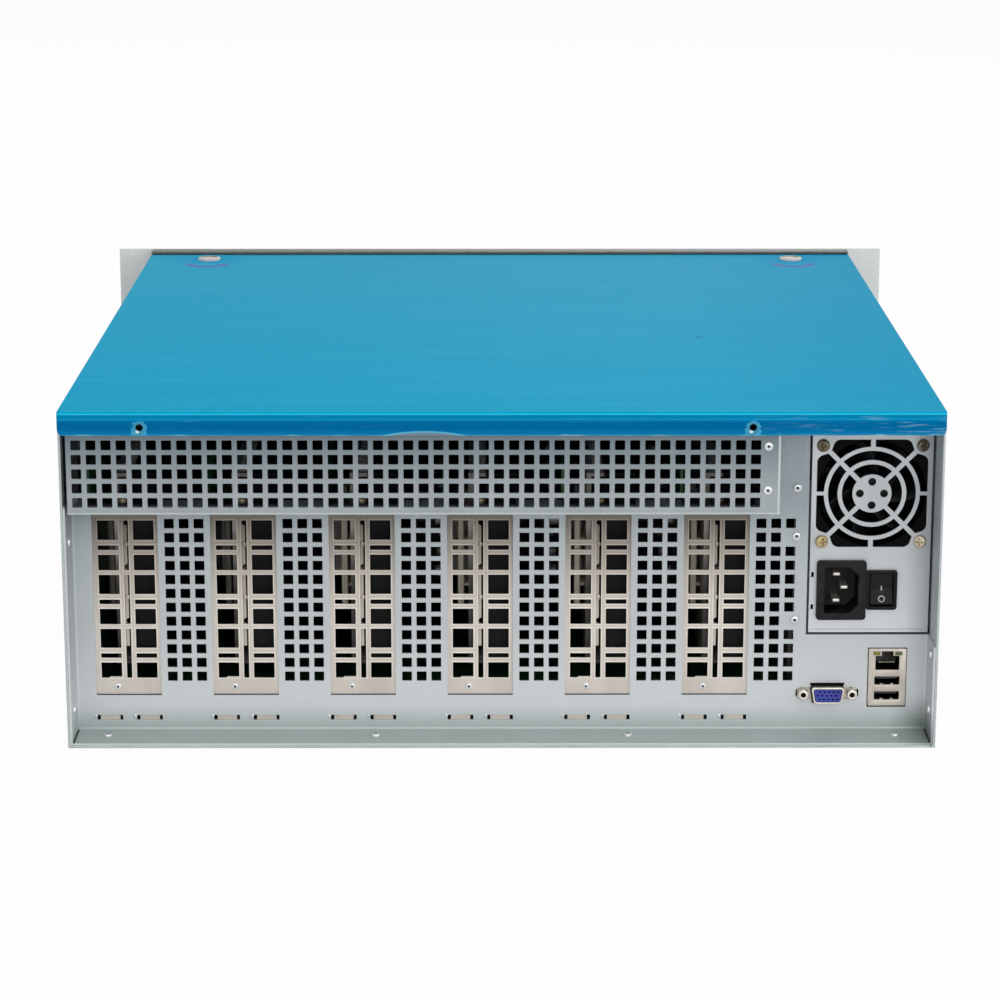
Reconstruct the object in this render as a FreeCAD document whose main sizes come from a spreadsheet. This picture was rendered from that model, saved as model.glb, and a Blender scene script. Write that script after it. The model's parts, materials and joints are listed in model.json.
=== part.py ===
import FreeCAD, Part
import math
import operator
import os
import Sketcher
from FreeCAD import Placement, Rotation, Vector

# Rack server, 4U high, with six double-width cards, seen from its connector side (-Y).
# Frame: +Z up, +X to the right seen from the connector side, +Y towards the rack ears.
# Origin: middle of the underside of the chassis floor. All lengths are millimetres.

os.makedirs("parts", exist_ok=True)
doc = FreeCAD.newDocument("rack_server")
sheet = doc.addObject("Spreadsheet::Sheet", "sizes")


class Size:
    """A length that keeps the sheet formula it comes from, so that solids stay bound to the sheet."""

    def __init__(self, formula, value):
        self.formula = formula
        self.value = value

    def __add__(self, other):
        return combine(self, "+", other, operator.add)

    def __radd__(self, other):
        return combine(other, "+", self, operator.add)

    def __sub__(self, other):
        return combine(self, "-", other, operator.sub)

    def __rsub__(self, other):
        return combine(other, "-", self, operator.sub)

    def __mul__(self, other):
        return combine(self, "*", other, operator.mul)

    def __truediv__(self, other):
        return combine(self, "/", other, operator.truediv)

    def __neg__(self):
        return combine(0, "-", self, operator.sub)


def as_size(length):
    if isinstance(length, Size):
        return length
    return Size("(%s)" % length, length)


def combine(left, sign, right, work):
    left = as_size(left)
    right = as_size(right)
    return Size("(%s %s %s)" % (left.formula, sign, right.formula), work(left.value, right.value))


def sheet_size(row, name, text):
    sheet.set("A%d" % row, name)
    sheet.set("B%d" % row, text)
    sheet.setAlias("B%d" % row, name)
    sheet.recompute()
    return Size("sizes." + name, float(sheet.get(name)))


# Chassis box and rack plate
body_width = sheet_size(1, "body_width", "440")
body_height = sheet_size(2, "body_height", "175")
body_depth = sheet_size(3, "body_depth", "450")
tray_sheet = sheet_size(4, "tray_sheet", "1.2")
panel_sheet = sheet_size(5, "panel_sheet", "1")
cover_sheet = sheet_size(6, "cover_sheet", "1")
rear_recess = sheet_size(7, "rear_recess", "24")
lip_height = sheet_size(8, "lip_height", "12")
tray_flange = sheet_size(9, "tray_flange", "12")
rack_width = sheet_size(10, "rack_width", "482.6")
rack_height = sheet_size(11, "rack_height", "177")
plate_thickness = sheet_size(12, "plate_thickness", "2")
frame_depth = sheet_size(13, "frame_depth", "10")
frame_wall = sheet_size(14, "frame_wall", "1.5")
ear_slot_spacing = sheet_size(15, "ear_slot_spacing", "465.1")
ear_slot_rise = sheet_size(16, "ear_slot_rise", "101.6")
ear_slot_length = sheet_size(17, "ear_slot_length", "10")
ear_slot_width = sheet_size(18, "ear_slot_width", "7")

# Square vents of the rear panel and of the hood
vent_side = sheet_size(20, "vent_side", "5")
vent_pitch_across = sheet_size(21, "vent_pitch_across", "7.5")
vent_pitch_up = sheet_size(22, "vent_pitch_up", "7.35")
vent_low_row = sheet_size(23, "vent_low_row", "30.7")
hood_low = sheet_size(24, "hood_low", "121.7")
hood_right = sheet_size(25, "hood_right", "138.8")
hood_first_column = sheet_size(26, "hood_first_column", "-211.4")
hood_low_row = sheet_size(27, "hood_low_row", "128.3")

# Cards
card_pitch = sheet_size(30, "card_pitch", "60")
card_first = sheet_size(31, "card_first", "-191")
card_opening_width = sheet_size(32, "card_opening_width", "33.4")
card_opening_low = sheet_size(33, "card_opening_low", "20.6")
card_opening_high = sheet_size(34, "card_opening_high", "119")
bracket_width = sheet_size(35, "bracket_width", "38.7")
bracket_sheet = sheet_size(36, "bracket_sheet", "0.9")
card_length = sheet_size(37, "card_length", "262")
card_top = sheet_size(38, "card_top", "140")
slot_spacing = sheet_size(39, "slot_spacing", "20.32")
window_period = sheet_size(40, "window_period", "28.6")
window_low = sheet_size(41, "window_low", "29.6")

# Power supply
psu_left = sheet_size(50, "psu_left", "156.5")
psu_width = sheet_size(51, "psu_width", "61")
psu_low = sheet_size(52, "psu_low", "54.1")
psu_height = sheet_size(53, "psu_height", "106")
psu_length = sheet_size(54, "psu_length", "200")
psu_sheet = sheet_size(55, "psu_sheet", "1")
psu_fan_rise = sheet_size(56, "psu_fan_rise", "73")
psu_fan_side = sheet_size(57, "psu_fan_side", "60")
psu_fan_spacing = sheet_size(58, "psu_fan_spacing", "50")
grille_opening = sheet_size(59, "grille_opening", "56")
inlet_width = sheet_size(60, "inlet_width", "25.2")
inlet_height = sheet_size(61, "inlet_height", "31.2")
rocker_width = sheet_size(62, "rocker_width", "15.8")
rocker_height = sheet_size(63, "rocker_height", "20.8")

# Main board and ports
board_top = sheet_size(70, "board_top", "15")
board_thickness = sheet_size(71, "board_thickness", "1.6")
board_width = sheet_size(72, "board_width", "426")
board_depth = sheet_size(73, "board_depth", "195")
vga_across = sheet_size(74, "vga_across", "166.95")
vga_rise = sheet_size(75, "vga_rise", "6.6")
vga_screw_spacing = sheet_size(76, "vga_screw_spacing", "24.99")
jack_across = sheet_size(77, "jack_across", "197.4")
jack_width = sheet_size(78, "jack_width", "19.2")
jack_height = sheet_size(79, "jack_height", "30.4")

# Intake fans and front controls
fan_side = sheet_size(90, "fan_side", "120")
fan_depth = sheet_size(91, "fan_depth", "25")
fan_pitch = sheet_size(92, "fan_pitch", "125")
fan_first = sheet_size(93, "fan_first", "-150")
control_across = sheet_size(94, "control_across", "182")
power_button_rise = sheet_size(95, "power_button_rise", "120")
reset_button_rise = sheet_size(96, "reset_button_rise", "95")
power_button_side = sheet_size(97, "power_button_side", "15.4")
reset_button_side = sheet_size(98, "reset_button_side", "6.4")
handle_across = sheet_size(99, "handle_across", "207")
handle_rise = sheet_size(100, "handle_rise", "100")
handle_reach = sheet_size(101, "handle_reach", "38")
handle_bar = sheet_size(102, "handle_bar", "9")

CARDS = 6
INTAKE_FANS = 3
VENT_COLUMNS = 3
VENT_ROWS = 12
HOOD_COLUMNS = 46
HOOD_ROWS = 5

# Levels and planes that several pieces share
half_width = body_width / 2
inner_half = half_width - tray_sheet
rear_edge = -body_depth / 2
front_edge = body_depth / 2
panel_outer = rear_edge + rear_recess
panel_inner = panel_outer + panel_sheet
tray_top = body_height - cover_sheet
panel_top = tray_top - tray_sheet - 0.3
plate_back = front_edge + frame_depth
plate_front = plate_back + plate_thickness
psu_right = psu_left + psu_width
psu_top = psu_low + psu_height
psu_front = panel_outer + psu_length
psu_middle = psu_left + psu_width / 2
psu_fan_level = psu_low + psu_fan_rise
ledge_top = hood_low + panel_sheet * 2
board_bottom = board_top - board_thickness


def bind(item, name, length):
    item.setExpression(name, as_size(length).formula)


def block(name, across, along, upward):
    """Rectangular block between two limits on X, on Y and on Z."""
    item = doc.addObject("Part::Box", name)
    limits = (("Length", "x", across), ("Width", "y", along), ("Height", "z", upward))
    for side, axis, (low, high) in limits:
        bind(item, side, as_size(high) - low)
        bind(item, "Placement.Base." + axis, low)
    return item


TURN_TO = {"x": Rotation(Vector(0, 1, 0), 90), "y": Rotation(Vector(1, 0, 0), -90), "z": Rotation()}


def set_place(item, rotation, base):
    item.Placement = Placement(Vector(), rotation)
    for axis, length in zip("xyz", base):
        bind(item, "Placement.Base." + axis, length)


def facet_rod(name, axis, base, radius, length, sides):
    """Rod with a regular straight-sided outline: screw heads, standoffs and fan bores."""
    item = doc.addObject("Part::Prism", name)
    item.Polygon = sides
    bind(item, "Circumradius", radius)
    bind(item, "Height", length)
    set_place(item, TURN_TO[axis], base)
    return item


def fuse(name, pieces):
    item = doc.addObject("Part::MultiFuse", name)
    item.Shapes = pieces
    return item


def group(name, pieces):
    """Separate solids that share one node."""
    item = doc.addObject("Part::Compound", name)
    item.Links = pieces
    return item


def cut(name, base, tools):
    item = doc.addObject("Part::Cut", name)
    item.Base = base
    item.Tool = tools[0] if len(tools) == 1 else group(name + "_tools", tools)
    return item


def hold_point(sketch, geometry, end, u, v):
    """Hold one point of a sketch at two sizes measured from the sketch origin."""
    for kind, length in (("DistanceX", as_size(u)), ("DistanceY", as_size(v))):
        number = sketch.addConstraint(Sketcher.Constraint(kind, -1, 1, geometry, end, length.value))
        sketch.setExpression("Constraints[%d]" % number, length.formula)


def hold_radius(sketch, geometry, radius):
    radius = as_size(radius)
    number = sketch.addConstraint(Sketcher.Constraint("Radius", geometry, radius.value))
    sketch.setExpression("Constraints[%d]" % number, radius.formula)


def draw_outline(sketch, points):
    """Closed outline of straight lines with every corner held."""
    first = sketch.GeometryCount
    count = len(points)
    corners = [Vector(as_size(u).value, as_size(v).value, 0) for u, v in points]
    for index in range(count):
        sketch.addGeometry(Part.LineSegment(corners[index], corners[(index + 1) % count]))
    for index in range(count):
        joined = Sketcher.Constraint("Coincident", first + index, 2, first + (index + 1) % count, 1)
        sketch.addConstraint(joined)
    for index, (u, v) in enumerate(points):
        hold_point(sketch, first + index, 1, u, v)


def rectangle(u, v):
    return [(u[0], v[0]), (u[1], v[0]), (u[1], v[1]), (u[0], v[1])]


def round_outline(u, v, radius, sides):
    """Corners of a regular outline about a middle point."""
    turns = [2 * math.pi * corner / sides for corner in range(sides)]
    return [(u + radius * math.cos(turn), v + radius * math.sin(turn)) for turn in turns]


def draw_circle(sketch, u, v, radius):
    centre = Vector(as_size(u).value, as_size(v).value, 0)
    number = sketch.addGeometry(Part.Circle(centre, Vector(0, 0, 1), as_size(radius).value))
    hold_point(sketch, number, 3, u, v)
    hold_radius(sketch, number, radius)


SIDE_VIEW = Rotation(Vector(1, 1, 1), 120)
REAR_VIEW = Rotation(Vector(1, 0, 0), 90)


def prism(name, rotation, base, points, length):
    """Outline pushed along its own normal: +X in the side view, -Y in the rear view."""
    sketch = doc.addObject("Sketcher::SketchObject", name + "_sketch")
    draw_outline(sketch, points)
    set_place(sketch, rotation, base)
    item = doc.addObject("Part::Extrusion", name)
    item.Base = sketch
    item.DirMode = "Normal"
    item.Solid = True
    bind(item, "LengthFwd", length)
    return item


def new_body(label):
    body = doc.addObject("PartDesign::Body", label)
    body.Label = label
    return body


def origin_part(body, role):
    return [item for item in body.Origin.OriginFeatures if item.Role == role][0]


def new_sketch(body, role, offset):
    """Sketch parallel to one of the body's own planes; the rear-view plane XZ has its normal along -Y."""
    sketch = body.newObject("Sketcher::SketchObject", body.Name + "_sketch")
    sketch.AttachmentSupport = [(origin_part(body, role), "")]
    sketch.MapMode = "FlatFace"
    bind(sketch, "AttachmentOffset.Base.z", offset)
    return sketch


def pad(body, sketch, length, towards_front=False, both_ways=False):
    feature = body.newObject("PartDesign::Pad", body.Name + "_pad")
    feature.Profile = sketch
    bind(feature, "Length", length)
    feature.Reversed = towards_front
    if both_ways:
        feature.SideType = "Symmetric"
    sketch.Visibility = False
    return feature


def pocket(body, sketch, length):
    """Cut of a given length, half of it on each side of the sketch."""
    feature = body.newObject("PartDesign::Pocket", body.Name + "_pocket")
    feature.Profile = sketch
    feature.SideType = "Symmetric"
    bind(feature, "Length", length)
    sketch.Visibility = False
    return feature


def repeat(body, feature, across, columns, upward=None, rows=1):
    """Repeat a feature along X, and along Z where rows are asked for."""
    pattern = body.newObject("PartDesign::LinearPattern", body.Name + "_pattern")
    pattern.Originals = [feature]
    pattern.Direction = (origin_part(body, "X_Axis"), [""])
    pattern.Mode = "Spacing"
    bind(pattern, "Offset", across)
    pattern.Occurrences = columns
    if upward is not None:
        pattern.Direction2 = (origin_part(body, "Z_Axis"), [""])
        pattern.Mode2 = "Spacing"
        bind(pattern, "Offset2", upward)
        # The row direction leaves its last row out, so it is given one more
        pattern.Occurrences2 = rows + 1
    body.Tip = pattern
    return pattern


def vent_grid(body, plane, depth, column, row, columns, rows):
    """Grid of square vents whose first hole has its middle at (column, row)."""
    sketch = new_sketch(body, "XZ_Plane", -plane)
    reach = vent_side / 2
    draw_outline(sketch, rectangle((column - reach, column + reach), (row - reach, row + reach)))
    hole = pocket(body, sketch, depth)
    if columns * rows > 1:
        repeat(body, hole, vent_pitch_across, columns, vent_pitch_up, rows)


def card_middle(index):
    return card_first + card_pitch * index


finished = []


def finish(item, node):
    item.Label = node
    finished.append(item)


# Chassis tray: floor, side walls and the in-turned rims that carry the cover
tray = new_body("chassis_tray")
tray_profile = new_sketch(tray, "XZ_Plane", as_size(0))
rim_half = half_width - tray_flange
rim_under = tray_top - tray_sheet
draw_outline(tray_profile, [
    (-half_width, 0), (half_width, 0), (half_width, tray_top), (rim_half, tray_top),
    (rim_half, rim_under), (inner_half, rim_under), (inner_half, tray_sheet),
    (-inner_half, tray_sheet), (-inner_half, rim_under), (-rim_half, rim_under),
    (-rim_half, tray_top), (-half_width, tray_top)])
pad(tray, tray_profile, body_depth, both_ways=True)
finish(tray, "chassis_tray")

# Rear panel, with the flanges that are riveted to the walls and floor and the ledge for the card tabs
panel = new_body("rear_panel")
notch_low = psu_low - 1.3
notch_left = psu_left - 1.2
panel_face = new_sketch(panel, "XZ_Plane", -panel_outer)
draw_outline(panel_face, [
    (-inner_half, tray_sheet), (inner_half, tray_sheet), (inner_half, notch_low),
    (notch_left, notch_low), (notch_left, panel_top), (-inner_half, panel_top)])
pad(panel, panel_face, panel_sheet, towards_front=True)

flange_inner = inner_half - panel_sheet
flange_floor = tray_sheet + panel_sheet
panel_rim = new_sketch(panel, "XZ_Plane", -panel_outer)
draw_outline(panel_rim, [
    (-inner_half, tray_sheet), (inner_half, tray_sheet), (inner_half, notch_low), (flange_inner, notch_low),
    (flange_inner, flange_floor), (-flange_inner, flange_floor), (-flange_inner, panel_top),
    (-inner_half, panel_top)])
rim_setback = 1
pad(panel, panel_rim, rear_recess - rim_setback)

exhaust_left = -inner_half + 5
exhaust_right = hood_right - 3
exhaust_frame = 10
ledge_reach = 12
panel_ledge = new_sketch(panel, "XZ_Plane", -panel_outer)
draw_outline(panel_ledge, rectangle((exhaust_left, exhaust_right), (ledge_top - panel_sheet, ledge_top)))
pad(panel, panel_ledge, ledge_reach)

through_panel = panel_sheet * 4
exhaust = new_sketch(panel, "XZ_Plane", -panel_inner)
draw_outline(exhaust, rectangle((exhaust_left, exhaust_right), (ledge_top, panel_top - exhaust_frame)))
pocket(panel, exhaust, panel_sheet * 2.5)

card_opening = new_sketch(panel, "XZ_Plane", -panel_outer)
opening_half = card_opening_width / 2
draw_outline(card_opening, rectangle((card_first - opening_half, card_first + opening_half),
                                     (card_opening_low, card_opening_high)))
repeat(panel, pocket(panel, card_opening, through_panel), card_pitch, CARDS)

slit_half = 6.6
slit_low = 7.3
slit_high = 9.9
tongue_slits = new_sketch(panel, "XZ_Plane", -panel_outer)
for side in (-1, 1):
    slit_middle = card_first + slot_spacing / 2 * side
    draw_outline(tongue_slits, rectangle((slit_middle - slit_half, slit_middle + slit_half),
                                         (slit_low, slit_high)))
repeat(panel, pocket(panel, tongue_slits, through_panel), card_pitch, CARDS)

# Each card has a vent group at its right; the last group leaves out two vents where rivets sit
for index in range(CARDS):
    first_column = card_middle(index) + card_pitch / 2 - vent_pitch_across
    if index < CARDS - 1:
        vent_grid(panel, panel_outer, through_panel, first_column, vent_low_row, VENT_COLUMNS, VENT_ROWS)
        continue
    vent_grid(panel, panel_outer, through_panel, first_column, vent_low_row, VENT_COLUMNS - 1, VENT_ROWS)
    last_column = first_column + vent_pitch_across * (VENT_COLUMNS - 1)
    for start, count in ((0, 4), (5, 5), (11, 1)):
        start_row = vent_low_row + vent_pitch_up * start
        vent_grid(panel, panel_outer, through_panel, last_column, start_row, 1, count)

vga_level = board_top + vga_rise
port_openings = new_sketch(panel, "XZ_Plane", -panel_outer)
# The cut-out of the video port has a lobe on each side for the jack screws
vga_hole_low = 7.6
vga_hole_high = 8.9
vga_hole_half = 5.4
lobe_reach = 16.1
lobe_half = 3.1
lobe_corner = 1.5
lobe_neck = (vga_hole_low + vga_hole_high) / 2
right_side = [
    (vga_hole_low, -vga_hole_half), (lobe_neck, -lobe_half), (lobe_reach - lobe_corner, -lobe_half),
    (lobe_reach, -lobe_half + lobe_corner), (lobe_reach, lobe_half - lobe_corner),
    (lobe_reach - lobe_corner, lobe_half), (lobe_neck, lobe_half), (vga_hole_high, vga_hole_half)]
draw_outline(port_openings,
             [(vga_across + across, vga_level + upward) for across, upward in right_side]
             + [(vga_across - across, vga_level + upward) for across, upward in reversed(right_side)])
jack_gap = 0.4
draw_outline(port_openings, rectangle(
    (jack_across - jack_width / 2 - jack_gap, jack_across + jack_width / 2 + jack_gap),
    (board_top - jack_gap, board_top + jack_height + jack_gap)))
pocket(panel, port_openings, through_panel)
finish(panel, "rear_panel")

# Vent hood over the card tabs
hood = new_body("vent_hood")
hood_side_gap = 1.4
hood_left = -flange_inner + hood_side_gap
hood_front = rear_edge + rim_setback
hood_depth = rear_recess - rim_setback
hood_block = new_sketch(hood, "XZ_Plane", -hood_front)
draw_outline(hood_block, rectangle((hood_left, hood_right), (hood_low, panel_top)))
pad(hood, hood_block, hood_depth, towards_front=True)
hood_hollow = new_sketch(hood, "XZ_Plane", -(hood_front + panel_sheet + hood_depth))
draw_outline(hood_hollow, rectangle((hood_left - 1, hood_right - panel_sheet),
                                    (hood_low + panel_sheet, panel_top + 1)))
pocket(hood, hood_hollow, hood_depth * 2)
vent_grid(hood, hood_front, panel_sheet * 4, hood_first_column, hood_low_row, HOOD_COLUMNS, HOOD_ROWS)
finish(hood, "vent_hood")

# Top cover with its rear lip and the two empty screw holes of the lip
cover = new_body("top_cover")
cover_profile = new_sketch(cover, "YZ_Plane", as_size(0))
lip_back = rear_edge - cover_sheet
lip_low = body_height - lip_height
draw_outline(cover_profile, [
    (lip_back, lip_low), (rear_edge, lip_low), (rear_edge, tray_top), (front_edge, tray_top),
    (front_edge, body_height), (lip_back, body_height)])
pad(cover, cover_profile, body_width, both_ways=True)
lip_holes = new_sketch(cover, "XZ_Plane", -lip_back)
lip_hole_level = lip_low + 4.1
lip_hole_radius = 2
lip_hole_left = -half_width + 40.7
lip_hole_right = half_width - 95.7
SMALL_ROUND = 12
for hole_across in (lip_hole_left, lip_hole_right):
    draw_outline(lip_holes, round_outline(hole_across, lip_hole_level, lip_hole_radius, SMALL_ROUND))
pocket(cover, lip_holes, cover_sheet * 4)
finish(cover, "top_cover")

SCREW_SIDES = 8
cover_screw_radius = 7
cover_screw_height = 1.2
cover_screw_across = half_width - 38
cover_screw_along = front_edge - 17
finish(group("cover_screws", [
    facet_rod("cover_screw", "z", (cover_screw_across * side, cover_screw_along, body_height),
              cover_screw_radius, cover_screw_height, SMALL_ROUND) for side in (-1, 1)]), "cover_screws")

# Front plate with rack ears, intake slots and holes for the controls
plate = new_body("front_plate")
rack_half = rack_width / 2
plate_face = new_sketch(plate, "XZ_Plane", -plate_back)
draw_outline(plate_face, rectangle((-rack_half, rack_half), (0, rack_height)))
pad(plate, plate_face, plate_thickness, towards_front=True)

through_plate = plate_thickness * 4
ear_low = rack_height / 2 - ear_slot_rise / 2
ear_reach = ear_slot_length / 2 - ear_slot_width / 2
ear_slots = new_sketch(plate, "XZ_Plane", -plate_back)
for side in (-1, 1):
    for level in (ear_low, ear_low + ear_slot_rise):
        slot_middle = ear_slot_spacing / 2 * side
        draw_outline(ear_slots, rectangle((slot_middle - ear_reach, slot_middle + ear_reach),
                                          (level - ear_slot_width / 2, level + ear_slot_width / 2)))
pocket(plate, ear_slots, through_plate)
for end in (-1, 1):
    slot_ends = new_sketch(plate, "XZ_Plane", -plate_back)
    for side in (-1, 1):
        for level in (ear_low, ear_low + ear_slot_rise):
            draw_circle(slot_ends, ear_slot_spacing / 2 * side + ear_reach * end, level, ear_slot_width / 2)
    pocket(plate, slot_ends, through_plate)

intake_rows = 6
intake_half = 52
intake_pitch = 18
intake_slot_half = 5
fan_level = body_height / 2
intake_low = fan_level - intake_pitch * (intake_rows - 1) / 2
intake_slot = new_sketch(plate, "XZ_Plane", -plate_back)
draw_outline(intake_slot, rectangle((fan_first - intake_half, fan_first + intake_half),
                                    (intake_low - intake_slot_half, intake_low + intake_slot_half)))
repeat(plate, pocket(plate, intake_slot, through_plate), fan_pitch, INTAKE_FANS,
       as_size(intake_pitch), intake_rows)

button_gap = 0.3
light_half = 2.2
light_levels = (63, 75)


def control_hole(level, half):
    """Square hole for a button or a light of the control strip."""
    reach = half + button_gap
    draw_outline(control_holes, rectangle((control_across - reach, control_across + reach),
                                          (level - reach, level + reach)))


control_holes = new_sketch(plate, "XZ_Plane", -plate_back)
control_hole(power_button_rise, power_button_side / 2)
control_hole(reset_button_rise, reset_button_side / 2)
for level in light_levels:
    control_hole(as_size(level), as_size(light_half))
pocket(plate, control_holes, through_plate)
finish(plate, "front_plate")

# Front frame between the tray and the plate, and the dust filter inside it
frame = new_body("front_frame")
frame_face = new_sketch(frame, "XZ_Plane", -front_edge)
draw_outline(frame_face, rectangle((-half_width, half_width), (0, rack_height)))
draw_outline(frame_face, rectangle((-half_width + frame_wall, half_width - frame_wall),
                                   (frame_wall, rack_height - frame_wall)))
pad(frame, frame_face, frame_depth, towards_front=True)
finish(frame, "front_frame")

filter_thickness = 4
filter_margin = 5
finish(block("dust_filter", (-half_width + filter_margin, control_across - 14),
             (plate_back - filter_thickness, plate_back),
             (frame_wall + filter_margin, body_height - filter_margin)), "dust_filter")

# Fan wall behind the frame
wall = new_body("fan_wall")
wall_back = front_edge - tray_sheet
wall_face = new_sketch(wall, "XZ_Plane", -wall_back)
draw_outline(wall_face, rectangle((-inner_half, inner_half), (tray_sheet, panel_top)))
pad(wall, wall_face, tray_sheet, towards_front=True)
fan_hole = new_sketch(wall, "XZ_Plane", -wall_back)
FAN_SIDES = 18
fan_hole_margin = 3
draw_outline(fan_hole, round_outline(fan_first, fan_level, fan_side / 2 - fan_hole_margin, FAN_SIDES))
repeat(wall, pocket(wall, fan_hole, tray_sheet * 4), fan_pitch, INTAKE_FANS)
finish(wall, "fan_wall")


def fan_frame(node, across, back, level, side, depth, base_start, base_depth):
    """Square fan frame with a round bore, and a motor base held by four struts."""
    half = side / 2
    strut = side * 0.03
    reach = half * 0.97
    base_range = (base_start, base_start + base_depth)
    shell = block(node + "_shell", (across - half, across + half), (back, back + depth),
                  (level - half, level + half))
    bore = facet_rod(node + "_bore", "y", (across, back - 1, level), half * 0.955, depth + 2, FAN_SIDES)
    base = facet_rod(node + "_base", "y", (across, base_start, level), half * 0.36, base_depth, SMALL_ROUND)
    struts = [
        block(node + "_strut", (across - reach, across + reach), base_range, (level - strut, level + strut)),
        block(node + "_strut", (across - strut, across + strut), base_range, (level - reach, level + reach))]
    finish(fuse(node, [cut(node + "_ring", shell, [bore]), base] + struts), node)


def fan_rotor(node, across, back, level, side, depth, blades):
    """Hub with slanted blades; it turns about the fan's own Y line."""
    rotor = new_body(node)
    half = side / 2
    hub_radius = half * 0.35
    blade_root = hub_radius * 0.85
    blade_tip = half * 0.9
    hub = new_sketch(rotor, "XZ_Plane", as_size(0))
    draw_outline(hub, round_outline(as_size(0), as_size(0), hub_radius, blades * 2))
    pad(rotor, hub, depth, towards_front=True)
    blade = new_sketch(rotor, "YZ_Plane", blade_root)
    lean = half * 0.2
    draw_outline(blade, [
        (depth * 0.06, -lean), (depth * 0.14, -lean), (depth * 0.94, lean), (depth * 0.86, lean)])
    vane = pad(rotor, blade, blade_tip - blade_root)
    ring = rotor.newObject("PartDesign::PolarPattern", node + "_ring")
    ring.Originals = [vane]
    ring.Axis = (origin_part(rotor, "Y_Axis"), [""])
    ring.Angle = 360
    ring.Occurrences = blades
    rotor.Tip = ring
    set_place(rotor, Rotation(), (across, back, level))
    finish(rotor, node)


FAN_BLADES = 7
fan_base = 3
hub_gap = 0.3
rotor_gap = 1
fan_back = wall_back - fan_depth
for index in range(INTAKE_FANS):
    fan_across = fan_first + fan_pitch * index
    fan_frame("fan_frame_%d" % (index + 1), fan_across, fan_back, fan_level, fan_side, fan_depth,
              fan_back, fan_base)
    fan_rotor("fan_rotor_%d" % (index + 1), fan_across, fan_back + fan_base + hub_gap, fan_level, fan_side,
              fan_depth - fan_base - hub_gap - rotor_gap, FAN_BLADES)

# Control board on the fan wall, with its lights and the two buttons in the plate
control_thickness = 1.6
control_half = 12
control_low = 52
control_high = 134
finish(block("control_board", (control_across - control_half, control_across + control_half),
             (front_edge, front_edge + control_thickness), (control_low, control_high)), "control_board")
light_proud = 0.6


def control_block(name, level, half, along):
    """Square piece of the control strip between two limits on Y."""
    return block(name, (control_across - half, control_across + half), along, (level - half, level + half))


light_along = (front_edge + control_thickness, plate_front + light_proud)
finish(group("status_lights", [
    control_block("status_light", level, light_half, light_along) for level in light_levels]),
    "status_lights")


def push_button(node, level, side, proud):
    """Square button: cap in the plate, wider collar behind it and a stem towards the control board."""
    collar_front = plate_back - 0.2
    collar_back = collar_front - 1.8
    stem_back = collar_back - 4.4
    half = side / 2
    finish(fuse(node, [
        control_block(node + "_cap", level, half, (collar_front, plate_front + proud)),
        control_block(node + "_collar", level, half * 1.25, (collar_back, collar_front)),
        control_block(node + "_stem", level, half * 0.4, (stem_back, collar_back))]), node)


push_button("power_button", power_button_rise, power_button_side, 2.5)
push_button("reset_button", reset_button_rise, reset_button_side, 0.8)

# Front handles
handle_low = rack_height / 2 - handle_rise / 2
handle_high = handle_low + handle_rise
handle_tip = plate_front + handle_reach
handle_slant = 8
handle_width = 12
handle_outline = [
    (plate_front, handle_low), (handle_tip - handle_slant, handle_low),
    (handle_tip, handle_low + handle_slant),
    (handle_tip, handle_high - handle_slant), (handle_tip - handle_slant, handle_high),
    (plate_front, handle_high), (plate_front, handle_high - handle_bar),
    (handle_tip - handle_bar, handle_high - handle_bar), (handle_tip - handle_bar, handle_low + handle_bar),
    (plate_front, handle_low + handle_bar)]
finish(group("front_handles", [
    prism("front_handle", SIDE_VIEW, (handle_across * side - handle_width / 2, 0, 0), handle_outline,
          handle_width) for side in (-1, 1)]), "front_handles")

# Power supply case: rear wall with the stamped fan grille, floor and front wall
psu_inner_back = panel_outer + psu_sheet
psu_inner_front = psu_front - psu_sheet
case_walls = fuse("psu_walls", [
    block("psu_rear", (psu_left, psu_right), (panel_outer, psu_inner_back), (psu_low, psu_top)),
    block("psu_floor", (psu_left + psu_sheet, psu_right - psu_sheet), (panel_outer, psu_front),
          (psu_low, psu_low + psu_sheet)),
    block("psu_end", (psu_left, psu_right), (psu_inner_front, psu_front), (psu_low, psu_top))])
through_case = psu_sheet * 3
case_start = panel_outer - psu_sheet
case_finish = case_start + through_case


GRILLE_SIDES = 24


def fan_disc(name, radius):
    return facet_rod(name, "y", (psu_middle, case_start, psu_fan_level), radius, through_case, GRILLE_SIDES)


def bar_at(name, turn, start, reach, half):
    """Straight grille bar that leaves the fan's middle line at an angle."""
    item = doc.addObject("Part::Box", name)
    bind(item, "Length", as_size(reach) - start)
    bind(item, "Width", through_case)
    bind(item, "Height", as_size(half) * 2)
    rotation = Rotation(Vector(0, -1, 0), turn)
    item.Placement = Placement(Vector(), rotation)
    corner = rotation.multVec(Vector(1, 0, 0))
    lift = rotation.multVec(Vector(0, 0, 1))
    start = as_size(start)
    half = as_size(half)
    bind(item, "Placement.Base.x", psu_middle + start * corner.x - half * lift.x)
    bind(item, "Placement.Base.y", case_start)
    bind(item, "Placement.Base.z", psu_fan_level + start * corner.z - half * lift.z)
    return item


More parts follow.
